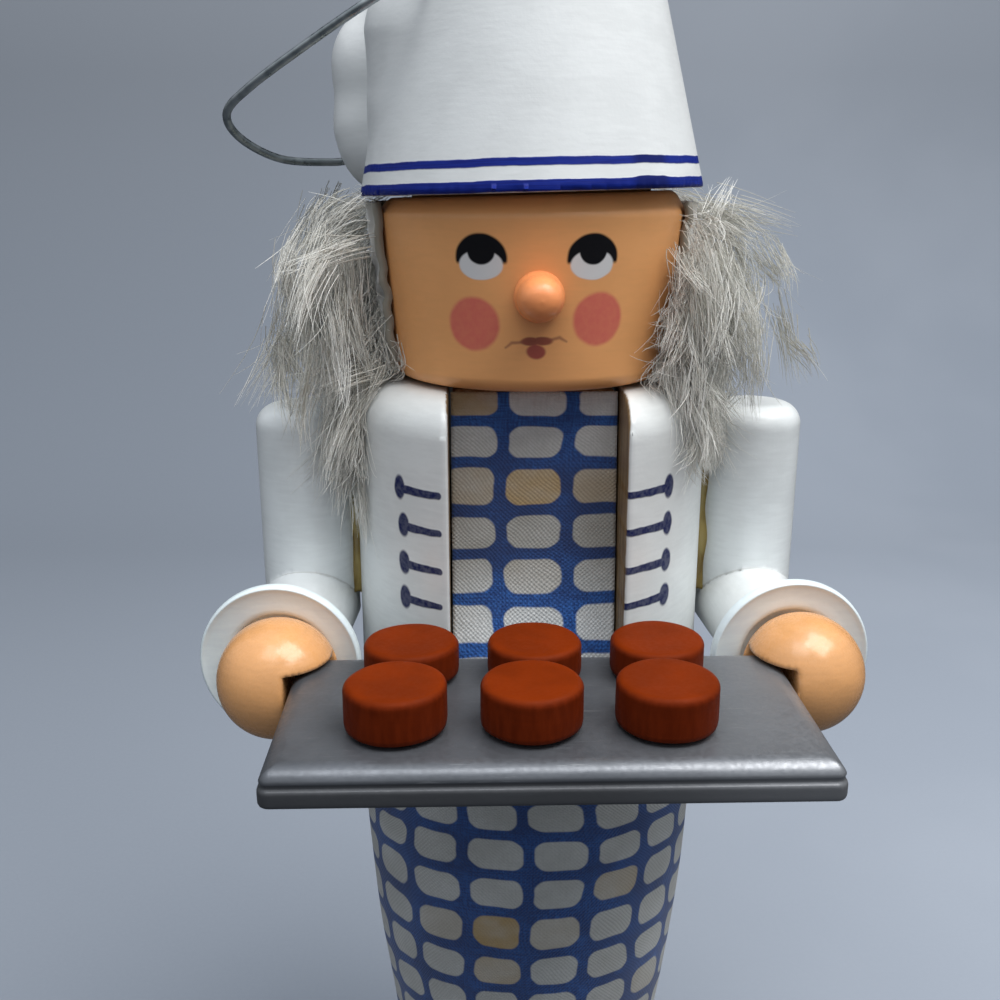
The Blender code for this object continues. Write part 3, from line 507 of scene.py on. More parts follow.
def jacket_paint():
    """Satin white outside with painted fastenings beside the slot, and bare wood within the slot."""
    paint = painted("jacket_white", (0.78, 0.80, 0.79), 0.34, coat=0.15)
    spot = paint.unrolled(TORSO_RADIUS).shaken(1.2, 0.10)
    marks = []
    for side, sign in SIDES:
        for drop in FASTENING_DROPS:
            height = BODY_TOP - drop
            first_left = side == "left" and drop == FASTENING_DROPS[0]
            outer = sign * (FASTENING_OUTER + (0.4 if first_left else 0.0))
            inner = sign * FASTENING_INNER[side]
            marks.append(spot.oval((outer, height), (0.70, 1.10), 0.16))
            marks.append(spot.stroke((outer, height - 0.1), (inner, height - 0.12), 0.86, 0.62))
    mask = either(marks) * paint.place().noise(2.2).fade(0.25, 0.75, 0.90, 1.0)
    paint.cover(mask, NAVY)
    paint.set("Specular IOR Level", mask * -0.42 + 0.5)
    paint.set("Coat Weight", mask * -0.15 + 0.15)
    x, _, z = paint.place().split()
    edge = paint.place(1, 1, 0.3).noise(1.2) - 0.5
    across = abs(x) + edge * 0.25
    within = across.fade(SLOT_HALF + 0.22, SLOT_HALF + 0.06) * z.fade(SLOT_FLOOR - 0.3, SLOT_FLOOR - 0.1)
    deep = paint.axis_reach() + edge * 0.5 + x.fade(-1, 1, 0.9, 0.0)
    within = within * deep.fade(TORSO_RADIUS - 0.1, TORSO_RADIUS - 0.4)
    wood, _, grain = wood_grain(paint, (0.20, 0.125, 0.055), (0.34, 0.23, 0.115))
    paint.cover(within, wood)
    paint.gloss = paint.gloss + within * 0.3
    paint.height = paint.height + mask * 1.2 + within * grain
    return paint.finish()


THIN_STRIPE_HEIGHT = 2.45
BROAD_STRIPE_HEIGHT = 0.60
STRIPE_OVERLAP_ANGLE = 0.64


def hat_paint():
    """White with a thin and a broad blue band round the brim, and a bare lower edge."""
    paint = painted("hat_white", (0.80, 0.82, 0.82), 0.44, mottle=0.05, coat=0.04)
    x, _, z = paint.place().split()
    height = z - HAT_BOTTOM - x * math.tan(HAT_TILT)
    angle = paint.around()
    wave = paint.flat(angle.math("SINE"), angle.math("COSINE")).noise(2.2) - 0.5
    edge = paint.place(1, 1, 0.3).noise(1.6, 1) - 0.5
    wavy = height + wave * 0.55 + edge * 0.05
    overlap = abs(angle - STRIPE_OVERLAP_ANGLE).fade(0.16, 0.08)
    thin = abs(wavy - THIN_STRIPE_HEIGHT) - 0.34
    broad = abs(wavy - BROAD_STRIPE_HEIGHT) - (overlap * 0.09 + 0.46)
    streak = paint.flat(angle * 4, height * 9).noise(1.0)
    blue = streak.fade(0.3, 0.7).mix((0.003, 0.012, 0.18), (0.006, 0.024, 0.27))
    blue = (overlap * 0.7).mix(blue, (0.002, 0.006, 0.08))
    mask = thin.fade(0.05, -0.07) | broad.fade(0.05, -0.05)
    mask = mask * paint.axis_reach().fade(BRIM_RADIUS + 0.5, BRIM_RADIUS + 0.3)
    paint.cover(mask, blue)
    paint.set("Specular IOR Level", mask * -0.3 + 0.5)
    paint.cover(height.fade(0.20, 0.10), (0.52, 0.45, 0.38))
    paint.height = paint.height + mask
    return paint.finish()


# Places on the face are across from its middle and up from the chin
CHEEKS = ((-5.65, 5.9), (5.25, 6.3))
LIPS = ((-0.65, 4.52), (0.35, 4.58))
MOUTH_STROKES = (
    ((-2.85, 4.0), (-2.3, 4.42), 0.16, 0.26),
    ((-2.3, 4.42), (-1.3, 4.48), 0.26, 0.22),
    ((1.1, 4.7), (1.8, 4.85), 0.22, 0.26),
    ((1.8, 4.85), (2.45, 4.5), 0.26, 0.14),
)
EYES = (-4.82, 4.42)
EYE_BLACK = (0.008, 0.008, 0.010)


def face_paint():
    """Flesh colour with painted eyes, cheeks and mouth."""
    paint = painted("face_flesh", (0.88, 0.415, 0.155), 0.40, depth=0.008, mottle=0.04, coat=0.06)
    spot = paint.unrolled(HEAD_RADIUS - HEAD_TAPER / 2).shaken(1.5, 0.07)
    spot = spot.vector("SUBTRACT", (0.0, HEAD_BOTTOM, 0.0))
    worn = paint.place().noise(1.8, 3).fade(0.2, 0.8, 0.80, 0.95)
    for cheek in CHEEKS:
        paint.cover(spot.oval(cheek, (2.32, 2.25), 0.10) * worn, (0.69, 0.140, 0.110))
    lips = either([spot.oval(lip, (0.85, 0.36), 0.25) for lip in LIPS])
    paint.cover(lips * 0.9, (0.26, 0.050, 0.036))
    paint.cover(spot.oval((-0.2, 3.65), (0.84, 0.60), 0.20) * 0.9, (0.34, 0.050, 0.050))
    corners = either([spot.stroke(*line, 0.12) for line in MOUTH_STROKES])
    paint.cover(corners * 0.7, (0.30, 0.10, 0.06))
    blacks = []
    for x in EYES:
        lid = spot.oval((x, 11.35), (2.22, 2.03), 0.06) * spot.split()[1].fade(10.75, 11.15)
        white = spot.oval((x - 0.02, 10.83), (1.88, 1.24), 0.07)
        pupil = spot.oval((x + 0.04, 12.0), (1.20, 1.17), 0.08)
        paint.cover(lid, EYE_BLACK)
        paint.cover(white, (0.72, 0.72, 0.72))
        paint.cover(pupil, EYE_BLACK)
        paint.height = paint.height + (lid | white) * 0.8
        blacks += [lid, pupil]
    paint.set("Specular IOR Level", either(blacks) * -0.4 + 0.5)
    return paint.finish()


def cake_paint():
    """Red-brown stain on slices of dowel, with painted shade darkening the side."""
    paint = painted("cake_stain", (0.175, 0.021, 0.001), 0.52, mottle=0.16)
    paint.set("Specular IOR Level", 0.05)
    # Painted shade: the upright side is darker than the flat faces, with streaks.
    upward = abs(paint.made("NewGeometry", {}, "Normal").split()[2])
    grain = paint.place(2, 2, 0.35).noise(1.0, 3)
    side = grain.fade(0.30, 0.75).mix((0.110, 0.013, 0.002), (0.145, 0.018, 0.003))
    paint.colour = upward.fade(0.35, 0.85).mix(side, paint.colour)
    return paint.finish()


def tray_paint():
    """Silver-grey metallic paint with fine scratches; its sides darker below the top edge as painted shade,
    and paler to the right as painted light.
    """
    paint = painted("tray_silver", (0.138, 0.147, 0.163), 0.36, mottle=0.10)
    paint.set("Metallic", 0.55)
    scratches = paint.place(0.06, 1.2, 1.2).noise(3.2, 5, 0.7).fade(0.60, 0.70)
    paint.cover(scratches * 0.30, (0.42, 0.43, 0.44))
    x, _, z = paint.place().split()
    # Painted shade: the sides are darker more than a millimetre below the top.
    below = z.fade(TRAY_HIGH[2] - 1.0, TRAY_HIGH[2] - 1.2)
    paint.cover(below * 0.70, (0.085, 0.085, 0.088))
    # Painted light: paler towards the right end.
    paint.cover(x.fade(2.0, TRAY_HIGH[0], 0.0, 0.35), (0.40, 0.41, 0.43))
    return paint.finish()


def sleeve_paint():
    """Satin white, paler than the jacket's as painted light, with a faint dark hairline at the elbow's mitre.
    """
    paint = painted("sleeve_white", (0.83, 0.86, 0.86), 0.34, coat=0.15)
    _, y, z = paint.place().split()
    line = abs(y + z - (AXIS_Y + ELBOW_HEIGHT)).fade(0.16, 0.05)
    paint.cover(line * 0.3, (0.30, 0.27, 0.22))
    return paint.finish()


def bare_wood():
    """Pale bare wood with long grain, pores and a little handling dirt."""
    paint = Paint("bare_wood_grain", 0.05)
    paint.colour, paint.gloss, paint.height = wood_grain(paint, (0.36, 0.20, 0.095), (0.56, 0.37, 0.20))
    return paint.finish()


def glue():
    """Yellowed glue in the seam beside each arm, its dark amber partly painted shade in the seam."""
    paint = Paint("old_glue", 0.08, Coat_Weight=0.4, Coat_Roughness=0.2)
    paint.height = paint.place(1, 1, 0.4).noise(0.8, 3)
    paint.colour = paint.height.fade(0.35, 0.65).mix((0.26, 0.17, 0.035), (0.42, 0.31, 0.09))
    paint.gloss = paint.height.fade(0.3, 0.7, 0.30, 0.50)
    return paint.finish()


def steel():
    """Drawn steel wire, with dull patches."""
    paint = Paint("drawn_steel", 0.01, Metallic=1.0)
    patch = paint.place().noise(0.6)
    paint.colour = patch.fade(0.35, 0.65).mix((0.33, 0.37, 0.38), (0.52, 0.56, 0.57))
    paint.gloss = patch.fade(0.3, 0.7, 0.24, 0.40)
    paint.height = paint.place().noise(6.0, 3)
    return paint.finish()


# The print's pitch across and down, and its pale cells' half sizes
CELL_WIDTH = 5.93
CELL_HEIGHT = 4.4
CELL_HALF_WIDTH = 2.42
CELL_HALF_HEIGHT = 1.62
CELL_CORNER = 2.38
THREAD_PITCH = 0.42


def cloth_material():
    """Cotton printed with pale rounded cells on blue, with stains and painted shade. It reads places on the
    flat cloth.
    """
    paint = Paint("printed_cotton", 0.035, Sheen_Weight=0.25, Sheen_Roughness=0.5)
    paint.strength = 0.7
    flat = paint.attribute("flat", "Vector").shaken(3.0, 0.22).shaken(0.7, 0.06)
    across, up, _ = flat.split()
    aside = abs(across.math("FRACT") - 0.5) * CELL_WIDTH
    above = abs(up.math("FRACT") - 0.5) * CELL_HEIGHT
    reach = (aside - CELL_HALF_WIDTH).math("SMOOTH_MAX", above - CELL_HALF_HEIGHT, 0.35)
    reach = reach.math("SMOOTH_MAX", (aside + above) * 0.72 - CELL_CORNER, 0.5)
    thread = flat.vector("MULTIPLY", (34, 3, 0)).noise(1.0)
    cross_thread = flat.vector("MULTIPLY", (3, 26, 0)).noise(1.0)
    weave = (thread + cross_thread) * 0.5
    blot = flat.noise(0.9, 3)
    # Painted shade: a value stored on the mesh darkens the pale cells and the blue, in blots, where the tray
    # and the chin shade the cloth.
    painted_shade = paint.attribute("painted_shade") * blot.fade(0.20, 0.70, 0.75, 1.0)
    stain = paint.attribute("stain") * blot.fade(0.25, 0.60, 0.55, 1.0)
    blue = weave.fade(0.38, 0.62).mix((0.014, 0.080, 0.330), (0.048, 0.210, 0.690))
    blue = blot.fade(0.40, 0.66, 0.0, 0.35).mix(blue, (0.022, 0.045, 0.170))
    blue = painted_shade.mix(blue, (0.014, 0.030, 0.105))
    pale = weave.fade(0.38, 0.62).mix((0.820, 0.850, 0.850), (0.950, 0.970, 0.970))
    pale = painted_shade.mix(pale, (0.300, 0.290, 0.255))
    pale = stain.mix(pale, (0.440, 0.270, 0.070))
    paint.colour = reach.fade(0.10, -0.12).mix(blue, pale)
    paint.gloss = weave.fade(0.3, 0.7, 0.72, 0.88)
    ridge = (across * (math.tau * CELL_WIDTH / THREAD_PITCH)).math("SINE")
    cross_ridge = (up * (math.tau * CELL_HEIGHT / THREAD_PITCH)).math("SINE")
    paint.height = ridge * cross_ridge + weave
    return paint.finish()


def fur_material(name, dark, light):
    """Fur fibres, darker at the root as painted shade between the tufts, each with its own tone."""
    paint = Paint(name, Sheen_Weight=0.9, Sheen_Roughness=0.4, Specular_IOR_Level=0.4)
    paint.height = paint.place(1, 1, 0.3).noise(1.2)
    share = paint.attribute("tone") + (paint.height - 0.5) * 0.6
    paint.colour = share.fade(0.0, 1.0).mix(dark, light)
    paint.gloss = paint.height.fade(0.3, 0.7, 0.42, 0.60)
    return paint.finish()


def floor_material():
    """Pale matt board, with painted light: a little darker to the left and paler up the wall."""
    paint = Paint("pale_board")
    x, _, z = paint.place().split()
    low, high = (0.36, 0.40, 0.465), (0.39, 0.43, 0.495)
    seen = paint.place().noise(0.012, 3).fade(0.35, 0.65).mix(low, high)
    # Painted shade towards the left, and painted light further up the wall.
    seen = x.fade(-130.0, 130.0).mix([part * 0.80 for part in low], seen)
    seen = z.fade(30.0, 260.0, 0.0, 0.24).mix(seen, (0.80, 0.84, 0.90))
    straight = paint.made("LightPath", {}, "Is Camera Ray")
    paint.colour = straight.mix([part * 0.2 for part in low], seen)
    paint.height = paint.place().noise(1.4, 3)
    paint.gloss = paint.height.fade(0.3, 0.7, 0.80, 0.92)
    return paint.finish()


WOOD = bare_wood()
STEEL = steel()
CLOTH = cloth_material()
GLUE = glue()
FUR = fur_material("grey_fur", (0.52, 0.50, 0.43), (0.94, 0.93, 0.87))
# The backing's dark colours are partly painted shade under the fur's roots.
FUR_MAT = fur_material("fur_backing", (0.22, 0.20, 0.16), (0.42, 0.40, 0.34))


# Body, and the cloth glued round its skirt

def skirt_radius(height):
    """The cloth's outer radius: a barrel curve from the waist to the hem."""
    share = (SKIRT_TOP - height) / SKIRT_LENGTH
    return SKIRT_TOP_RADIUS - (SKIRT_TOP_RADIUS - HEM_RADIUS) * share**2


def body_distance(points):
    """The turned body with its slot."""
    reach = np.hypot(points[:, 0], points[:, 1] - AXIS_Y)
    height = points[:, 2]
    jacket = drum_distance(reach, height, TORSO_RADIUS, SKIRT_TOP + GAP, BODY_TOP, 0.25, SHOULDER_ROUNDING)
    core_radius = skirt_radius(np.clip(height, SKIRT_LOW[2], SKIRT_TOP)) - CLOTH_THICKNESS - GAP
    core = drum_distance(reach, height, core_radius, BODY_LOW[2], SKIRT_TOP + 1, 0.4, 0.1)
    slot = box_distance(points, (-SLOT_HALF, -60, SLOT_FLOOR), (SLOT_HALF, 60, BODY_TOP + 20))
    return common(np.minimum(jacket, core), -slot, 0.45)


def make_body():
    """Jacket and skirt core in one turned piece."""
    points, faces = implicit(body_distance, BODY_LOW - 1.1, BODY_HIGH + 1, 0.41, 7)
    piece("jacket", points, faces, jacket_paint(), ["body"], slot="white_paint")


def shell(rows, thickness):
    """A closed thin sheet about a grid whose rows go down and whose columns go to the viewer's right."""
    outward = np.cross(np.gradient(rows, axis=0), np.gradient(rows, axis=1))
    outward *= thickness / 2 / np.linalg.norm(outward, axis=-1, keepdims=True)
    points = np.stack([rows + outward, rows - outward]).reshape(-1, 3)
    number = np.arange(rows[..., 0].size).reshape(rows.shape[:2])
    outer = grid_faces(number)
    rim = np.concatenate([number[0, ::-1], number[1:, 0], number[-1, 1:], number[-2:0:-1, -1]])
    after = np.roll(rim, -1)
    edge = np.stack([after, rim, rim + number.size, after + number.size], axis=-1)
    return points, np.concatenate([outer, outer[:, ::-1] + number.size, edge])


def store_print(cloth, column, row, spots, painted_shade):
    """Keep each point's place on the print, how yellowed it is and how much painted shade darkens it, for
    both sides of a shell.

    The stained cells are given as (column, row, strength).
    """
    stain = np.zeros(column.shape)
    for spot_column, spot_row, strength in spots:
        reach = np.maximum(np.abs(column - spot_column - 0.5), np.abs(row - spot_row - 0.5))
        stain = np.maximum(stain, strength * np.clip((0.56 - reach) / 0.1, 0, 1))
    store(cloth, "flat", np.tile(np.stack([column.ravel(), row.ravel(), 0 * row.ravel()], axis=-1), (2, 1)))
    store(cloth, "stain", np.tile(stain.ravel(), 2))
    store(cloth, "painted_shade", np.tile(painted_shade.ravel(), 2))


def print_rows(depth, pitch, growth):
    """Rows of the print down to a depth, when each row is a little deeper than the one above it."""
    return (np.sqrt(pitch**2 + 4 * growth * depth) - pitch) / (2 * growth) + 0.5


SEAM_ANGLE = math.radians(-104.0)
SEAM_OVERLAP = math.radians(7.0)
COLUMN_PITCH = math.radians(20.1)
COLUMN_START = math.radians(7.1)
# How much lower the print's rows lie a quarter turn round the skirt than in front
PRINT_SAG = 2.86
SKIRT_PRINT_TOP = 52.69
SKIRT_ROW_PITCH = 4.16
SKIRT_ROW_GROWTH = 0.076
# Painted shade laid evenly over the skirt, which the tray shades from above
SKIRT_PAINTED_SHADE = 0.71
BIB_PRINT_TOP = 93.7
BIB_ROW_PITCH = 3.66
BIB_ROW_GROWTH = 0.096
BIB_COLUMN_PITCH = 6.12


def skirt_cloth():
    """Printed cotton wrapped round the skirt, lapped at its seam, with a wavy raw hem."""
    turn = SEAM_ANGLE + np.linspace(0, math.tau + SEAM_OVERLAP, 361)
    angle, share = np.meshgrid(turn, np.linspace(0, 1, 111))
    hem_wave = 0.35 * np.sin(angle * 5 + 1.0) + 0.2 * np.sin(angle * 13)
    height = SKIRT_TOP - 0.15 - (SKIRT_LENGTH - 0.6) * share + hem_wave * share**6
    lap = np.clip((angle - SEAM_ANGLE - math.tau + 0.10) / 0.16, 0, 1)
    radius = skirt_radius(height) - CLOTH_THICKNESS / 2 + 0.45 * lap**2 * (3 - 2 * lap)
    relief = ripple(np.stack([np.sin(angle) * radius, -np.cos(angle) * radius, height], axis=-1), 11.0, 3)
    radius += 0.10 * relief * (0.3 + share) + 0.12 * np.sin(angle * 9 + 2) * share**3
    rows = np.stack([radius * np.sin(angle), AXIS_Y - radius * np.cos(angle), height], axis=-1)
    points, faces = shell(rows, CLOTH_THICKNESS)
    cloth = piece("skirt_cloth", points, faces, CLOTH, ["apron_skirt"], slot="printed_cloth")
    depth = SKIRT_PRINT_TOP - height - PRINT_SAG * (1 - np.cos(angle))
    row = print_rows(depth, SKIRT_ROW_PITCH, SKIRT_ROW_GROWTH)
    spots = ((-1, 2, 0.85), (-1, 3, 0.45), (0, 2, 0.25), (1, 1, 0.45), (-2, 2, 0.2), (2, 4, 0.2))
    column = (angle - COLUMN_START) / COLUMN_PITCH + 0.5
    # The whole skirt carries the same painted shade.
    store_print(cloth, column, row, spots, np.full(angle.shape, SKIRT_PAINTED_SHADE))


def bib_cloth():
    """Printed cotton on the jaw's leaning face."""
    half = BIB_HIGH[0] + 0.32
    share, x = np.meshgrid(np.linspace(0, 1, 91), np.linspace(-half, half, 45), indexing="ij")
    top = np.array([BIB_HIGH[1] - 0.2, BIB_HIGH[2] - 0.1])
    foot = np.array([BIB_LOW[1] + 0.2, BIB_LOW[2] + 0.1])
    y = top[0] + (foot[0] - top[0]) * share
    z = top[1] + (foot[1] - top[1]) * share
    y = y - 0.05 * ripple(np.stack([x, y, z], axis=-1), 8.0, 7)
    rows = np.stack([x, y, z], axis=-1)
    points, faces = shell(rows, CLOTH_THICKNESS)
    cloth = piece("bib_cloth", points, faces, CLOTH, ["bib"], body="jaw", slot="printed_cloth")
    row = print_rows(BIB_PRINT_TOP - z, BIB_ROW_PITCH, BIB_ROW_GROWTH)
    spots = ((-1, 0, 0.8), (0, 2, 0.75), (1, 2, 0.35), (-1, 2, 0.3), (0, 4, 0.15))
    # Painted shade under the chin: a quarter strength at the top, full from a quarter to about half way down,
    # none from three quarters down.
    painted_shade = np.clip((0.74 - share) / 0.26, 0, 1) * np.clip(0.25 + 3 * share, 0, 1)
    store_print(cloth, (x - 0.03) / BIB_COLUMN_PITCH + 0.5, row, spots, 0.92 * painted_shade)


# Jaw lever. Its side is an outline of (y, height)

LEVER_OUTLINE = np.array([
    (-0.1, 94.6), (-3.2, 64.2), (7.3, 64.2), (19.9, 67.4), (25.6, 68.8), (25.6, 50.1), (27.0, 48.7),
    (28.5, 48.7), (29.9, 50.1), (29.9, 77.4), (28.5, 80.3), (25.6, 81.7), (15.6, 83.1), (4.5, 94.6),
])


def lever_distance(points):
    """The jaw block with a narrower handle down the back, bored for its pin."""
    x, y, z = points.T
    side = outline_distance(y, z, LEVER_OUTLINE)
    behind = y - (AXIS_Y + TORSO_RADIUS + GAP)
    block = common(side, np.abs(x) - (SLOT_HALF - LEVER_SIDE_ROOM), 0.5)
    handle = common(side, np.abs(x) - HANDLE_HALF, 0.5)
    whole = np.where(behind < 0, np.minimum(np.maximum(block, behind), handle), handle)
    bore = np.hypot(y - PIN_CENTRE[1], z - PIN_CENTRE[2]) - PIN_BORE_RADIUS
    return common(whole, -bore, 0.1)


def make_lever():
    """The bare wooden lever."""
    points, faces = implicit(lever_distance, LEVER_LOW - 1, LEVER_HIGH + 1, 0.4)
    piece("jaw_block", points, faces, WOOD, ["jaw_lever"], body="jaw", slot="bare_wood")


# Head and nose

def head_radius(height):
    """The head's radius on its sloping side."""
    return HEAD_RADIUS - HEAD_TAPER * (HEAD_TOP - height) / (HEAD_TOP - HEAD_BOTTOM)


def make_head():
    """The turned head: a rounded chin, a flat eased edge on top and a tenon for the hat."""
    low = HEAD_BOTTOM + HEAD_ROUNDING
    profile = [(0.0, HEAD_BOTTOM), (head_radius(low) - HEAD_ROUNDING - 1.5, HEAD_BOTTOM)]
    profile += arc((head_radius(low) - HEAD_ROUNDING, low), HEAD_ROUNDING, -90, 0, 14)
    profile += [(head_radius(height), height) for height in (low + 4, low + 8, HEAD_TOP - 1.8)]
    profile += arc((head_radius(HEAD_TOP - 1.3) - 0.6, HEAD_TOP - 1.4), 0.6, 0, 50, 5)
    profile += [(HEAD_RADIUS - 1.0, HEAD_TOP - 0.25), (HEAD_RADIUS - 1.5, HEAD_TOP), (TENON_RADIUS, HEAD_TOP)]
    profile += [(TENON_RADIUS, HEAD_TOP + TENON_HEIGHT), (0.0, HEAD_TOP + TENON_HEIGHT)]
    points, faces = turned(profile, 144)
    rise = HAT_BOTTOM + points[:, 0] * math.tan(HAT_TILT) - 0.08 - HEAD_TOP
    points[:, 2] += rise * np.clip((points[:, 2] - HEAD_TOP + 1.6) / 1.6, 0, 1)
    points[:, 1] += AXIS_Y
    piece("face", points, faces, face_paint(), ["head"], slot="skin_paint")


def make_nose():
    """The turned nose with its collar."""
    profile = [(0.0, -4.0), (0.9, -4.0), (0.9, -0.2), (2.1, -0.15)]
    knob = [(2.12, 0.0), (2.1, 0.45), (1.95, 0.85), (1.88, 1.3), (1.86, 2.2), (1.72, 3.2), (1.35, 4.0)]
    profile += smooth_profile(knob + [(0.75, 4.45), (0.0, 4.6)], 4).tolist()
    points, faces = turned(profile, 48)
    height = (NOSE_LOW[2] + NOSE_HIGH[2]) / 2
    base = AXIS_Y - head_radius(height) - GAP / 2
    placed = np.stack([points[:, 0], base - points[:, 2], height + points[:, 1]], axis=-1)
    paint = painted("nose_orange", (1.0, 0.34, 0.12), 0.38, mottle=0.10, coat=0.08)
    piece("nose_peg", placed, faces, paint.finish(), ["nose"], slot="nose_paint")


# Hat. Its lobes are placed from the middle of the brim, and the tail is a chain of (centre, radius)

PUFF_ENDS = ((-8.2, -0.8, 13.3), (-8.8, -0.6, 8.6))
PUFF_RADII = (6.3, 5.2)
LOBE_CENTRE = (1.8, 9.4, 14.1)
LOBE_RADII = (9.7, 7.3, 5.2)
TAIL = (
    ((-4.0, 4.0, 16.0), 4.2),
    ((-9.5, 6.5, 15.6), 5.0),
    ((-12.7, 8.4, 12.0), 5.6),
    ((-12.9, 8.7, 6.6), 5.6),
    ((-12.8, 8.6, 5.3), 5.4),
)


def hat_frame(points):
    """Points in the hat's own tilted frame."""
    x, y, z = (points - np.array([0.0, AXIS_Y, HAT_BOTTOM])).T
    cosine, sine = math.cos(HAT_TILT), math.sin(HAT_TILT)
    return np.stack([x * cosine + z * sine, y, z * cosine - x * sine], axis=-1)


def band_outline():
    """Section of the tapered band and rounded crown, as half of it and its mirror image."""
    half = [(BRIM_RADIUS, 0.0)]
    for rise in np.linspace(0, 1, 9):
        half.append((BAND_TOP_RADIUS * math.sqrt(1 - rise * rise), BAND_HEIGHT + CROWN_RISE * rise))
    half = np.array(half)
    return np.vstack([half, half[-2::-1] * (-1.0, 1.0)])


BAND_OUTLINE = band_outline()


def hat_distance(points):
    """Tapered band, rounded crown, a puff at the left front and a tail that droops behind the left side."""
    spot = hat_frame(points)
    reach = np.hypot(spot[:, 0], spot[:, 1])
    band = outline_distance(reach, spot[:, 2], BAND_OUTLINE)
    puff = rod_distance(spot, *PUFF_ENDS, *PUFF_RADII)
    lobe = ellipsoid_distance(spot, LOBE_CENTRE, LOBE_RADII)
    tail = np.full(len(points), 99.0)
    for (start, start_radius), (end, end_radius) in zip(TAIL, TAIL[1:]):
        tail = smooth_union(tail, rod_distance(spot, start, end, start_radius, end_radius), 1.2)
    shape = smooth_union(smooth_union(smooth_union(band, puff, 2.6), lobe, 2.0), tail, 0.7)
    shape = common(shape, -spot[:, 2], 0.5)
    socket = drum_distance(reach, spot[:, 2], TENON_RADIUS + 0.5, -5, TENON_HEIGHT + 0.5, 0.1, 0.2)
    return common(shape, -socket, 0.3)


def make_hat():
    """The whole hat."""
    points, faces = implicit(hat_distance, HAT_LOW - 1.5, HAT_HIGH + 1.5, 0.42)
    piece("baker_hat", points, faces, hat_paint(), ["hat"], slot="white_paint")


# Eye and hanger

def unit(vectors):
    """Vectors made one long."""
    return vectors / np.linalg.norm(vectors, axis=-1, keepdims=True)


def tubes(paths, radii, sides=3):
    """Open tubes along many paths of as many points, each with a radius per point."""
    ahead = unit(np.gradient(paths, axis=1))
    normal = np.cross(ahead[:, 0], [0.31, 0.52, 0.79])
    angles = (np.arange(sides) * math.tau / sides)[None, :, None]
    rings = []
    for step in range(paths.shape[1]):
        way = ahead[:, step]
        normal = unit(normal - (normal * way).sum(-1, keepdims=True) * way)
        circle = np.cos(angles) * normal[:, None] + np.sin(angles) * np.cross(way, normal)[:, None]
        rings.append(paths[:, step, None] + circle * radii[:, step, None, None])
    points = np.stack(rings, axis=1)
    number = np.arange(points[..., 0].size).reshape(points.shape[:3])
    here, above = number[:, :-1], number[:, 1:]
    faces = np.stack([here, np.roll(here, -1, axis=2), np.roll(above, -1, axis=2), above], axis=-1)
    return points.reshape(-1, 3), faces.reshape(-1, 4)


def wire(path, radius, sides):
    """One tube with rounded ends."""
    start = unit(path[0] - path[1]) * radius * 0.5
    end = unit(path[-1] - path[-2]) * radius * 0.5
    path = np.vstack([path[0] + start, path[0] + start * 0.7, path, path[-1] + end * 0.7, path[-1] + end])
    radii = np.full(len(path), radius)
    radii[[0, -1]] *= 0.05
    radii[[1, -2]] *= 0.75
    return tubes(path[None], radii[None], sides)


EYE_RING_RADIUS = 1.8
EYE_WIRE_RADIUS = 0.45
EYE_SHANK_LENGTH = 7.0
HOOK_WIRE_RADIUS = 0.38
HOOK_LOOP_RADIUS = 1.3
HOOK_DROOP = math.radians(32.0)
# Places along the hanger's bend, from the eye's centre
HOOK_BEND = (
    (-5.0, -5.0, -2.6), (-9.0, -9.5, -5.6), (-13.5, -11.0, -8.4), (-18.8, -8.0, -11.1),
    (-24.5, -4.0, -14.1), (-27.4, -0.6, -16.1), (-27.0, 3.0, -18.1), (-24.1, 7.4, -19.8),
    (-19.9, 12.0, -20.0), (-17.8, 14.5, -19.7),
)
EYE_CENTRE = np.array([0.0, AXIS_Y, EYE_HIGH[2] - EYE_RING_RADIUS - EYE_WIRE_RADIUS])


def make_eye():
    """The steel eye: a bent ring whose end meets its own shank."""
    angles = np.radians(np.linspace(-78, 262, 60))
    ring = EYE_CENTRE + EYE_RING_RADIUS * np.stack([np.cos(angles), 0 * angles, np.sin(angles)], axis=-1)
    ring[-1] += (0.05, 0.0, 0.05)
    drops = EYE_RING_RADIUS + EYE_SHANK_LENGTH * np.linspace(0, 1, 20)
    shank = EYE_CENTRE - np.stack([0 * drops, 0 * drops, drops], axis=-1)
    points, faces = wire(ring, EYE_WIRE_RADIUS, 16)
    more_points, more_faces = wire(shank, EYE_WIRE_RADIUS, 16)
    faces = np.vstack([faces, more_faces + len(points)])
    piece("hanger_eye", np.vstack([points, more_points]), faces, STEEL, ["eye_screw"], slot="steel_wire")


def make_hanger():
    """The bent steel wire: a loop through the eye, then one open bend round the hat."""
    outward = np.array([-math.cos(HOOK_DROOP), 0.0, -math.sin(HOOK_DROOP)])
    turn = np.radians(np.linspace(-20, 270, 40))
    circle = np.outer(np.cos(turn), outward) + np.outer(np.sin(turn), (0.0, 1.0, 0.0))
    loop = EYE_CENTRE + outward * EYE_RING_RADIUS + HOOK_LOOP_RADIUS * circle
    path = np.vstack([loop[:-1], smooth_profile(np.vstack([loop[-1:], EYE_CENTRE + HOOK_BEND]), 10)])
    points, faces = wire(path, HOOK_WIRE_RADIUS, 14)
    piece("hanger_wire", points, faces, STEEL, ["hanger_hook"], body="hanger", slot="steel_wire")


# Arms, cuffs and hands. A sign is -1 on the left and 1 on the right

def along_forearm(points, sign):
    """How far points are beside, along and above the forearm's axis from the elbow."""
    x = points[:, 0] - sign * ARM_X
    forward = AXIS_Y - points[:, 1]
    cosine, sine = math.cos(FOREARM_SPLAY), sign * math.sin(FOREARM_SPLAY)
    aside, along = x * cosine - forward * sine, forward * cosine + x * sine
    return np.stack([aside, along, points[:, 2] - ELBOW_HEIGHT], axis=-1)


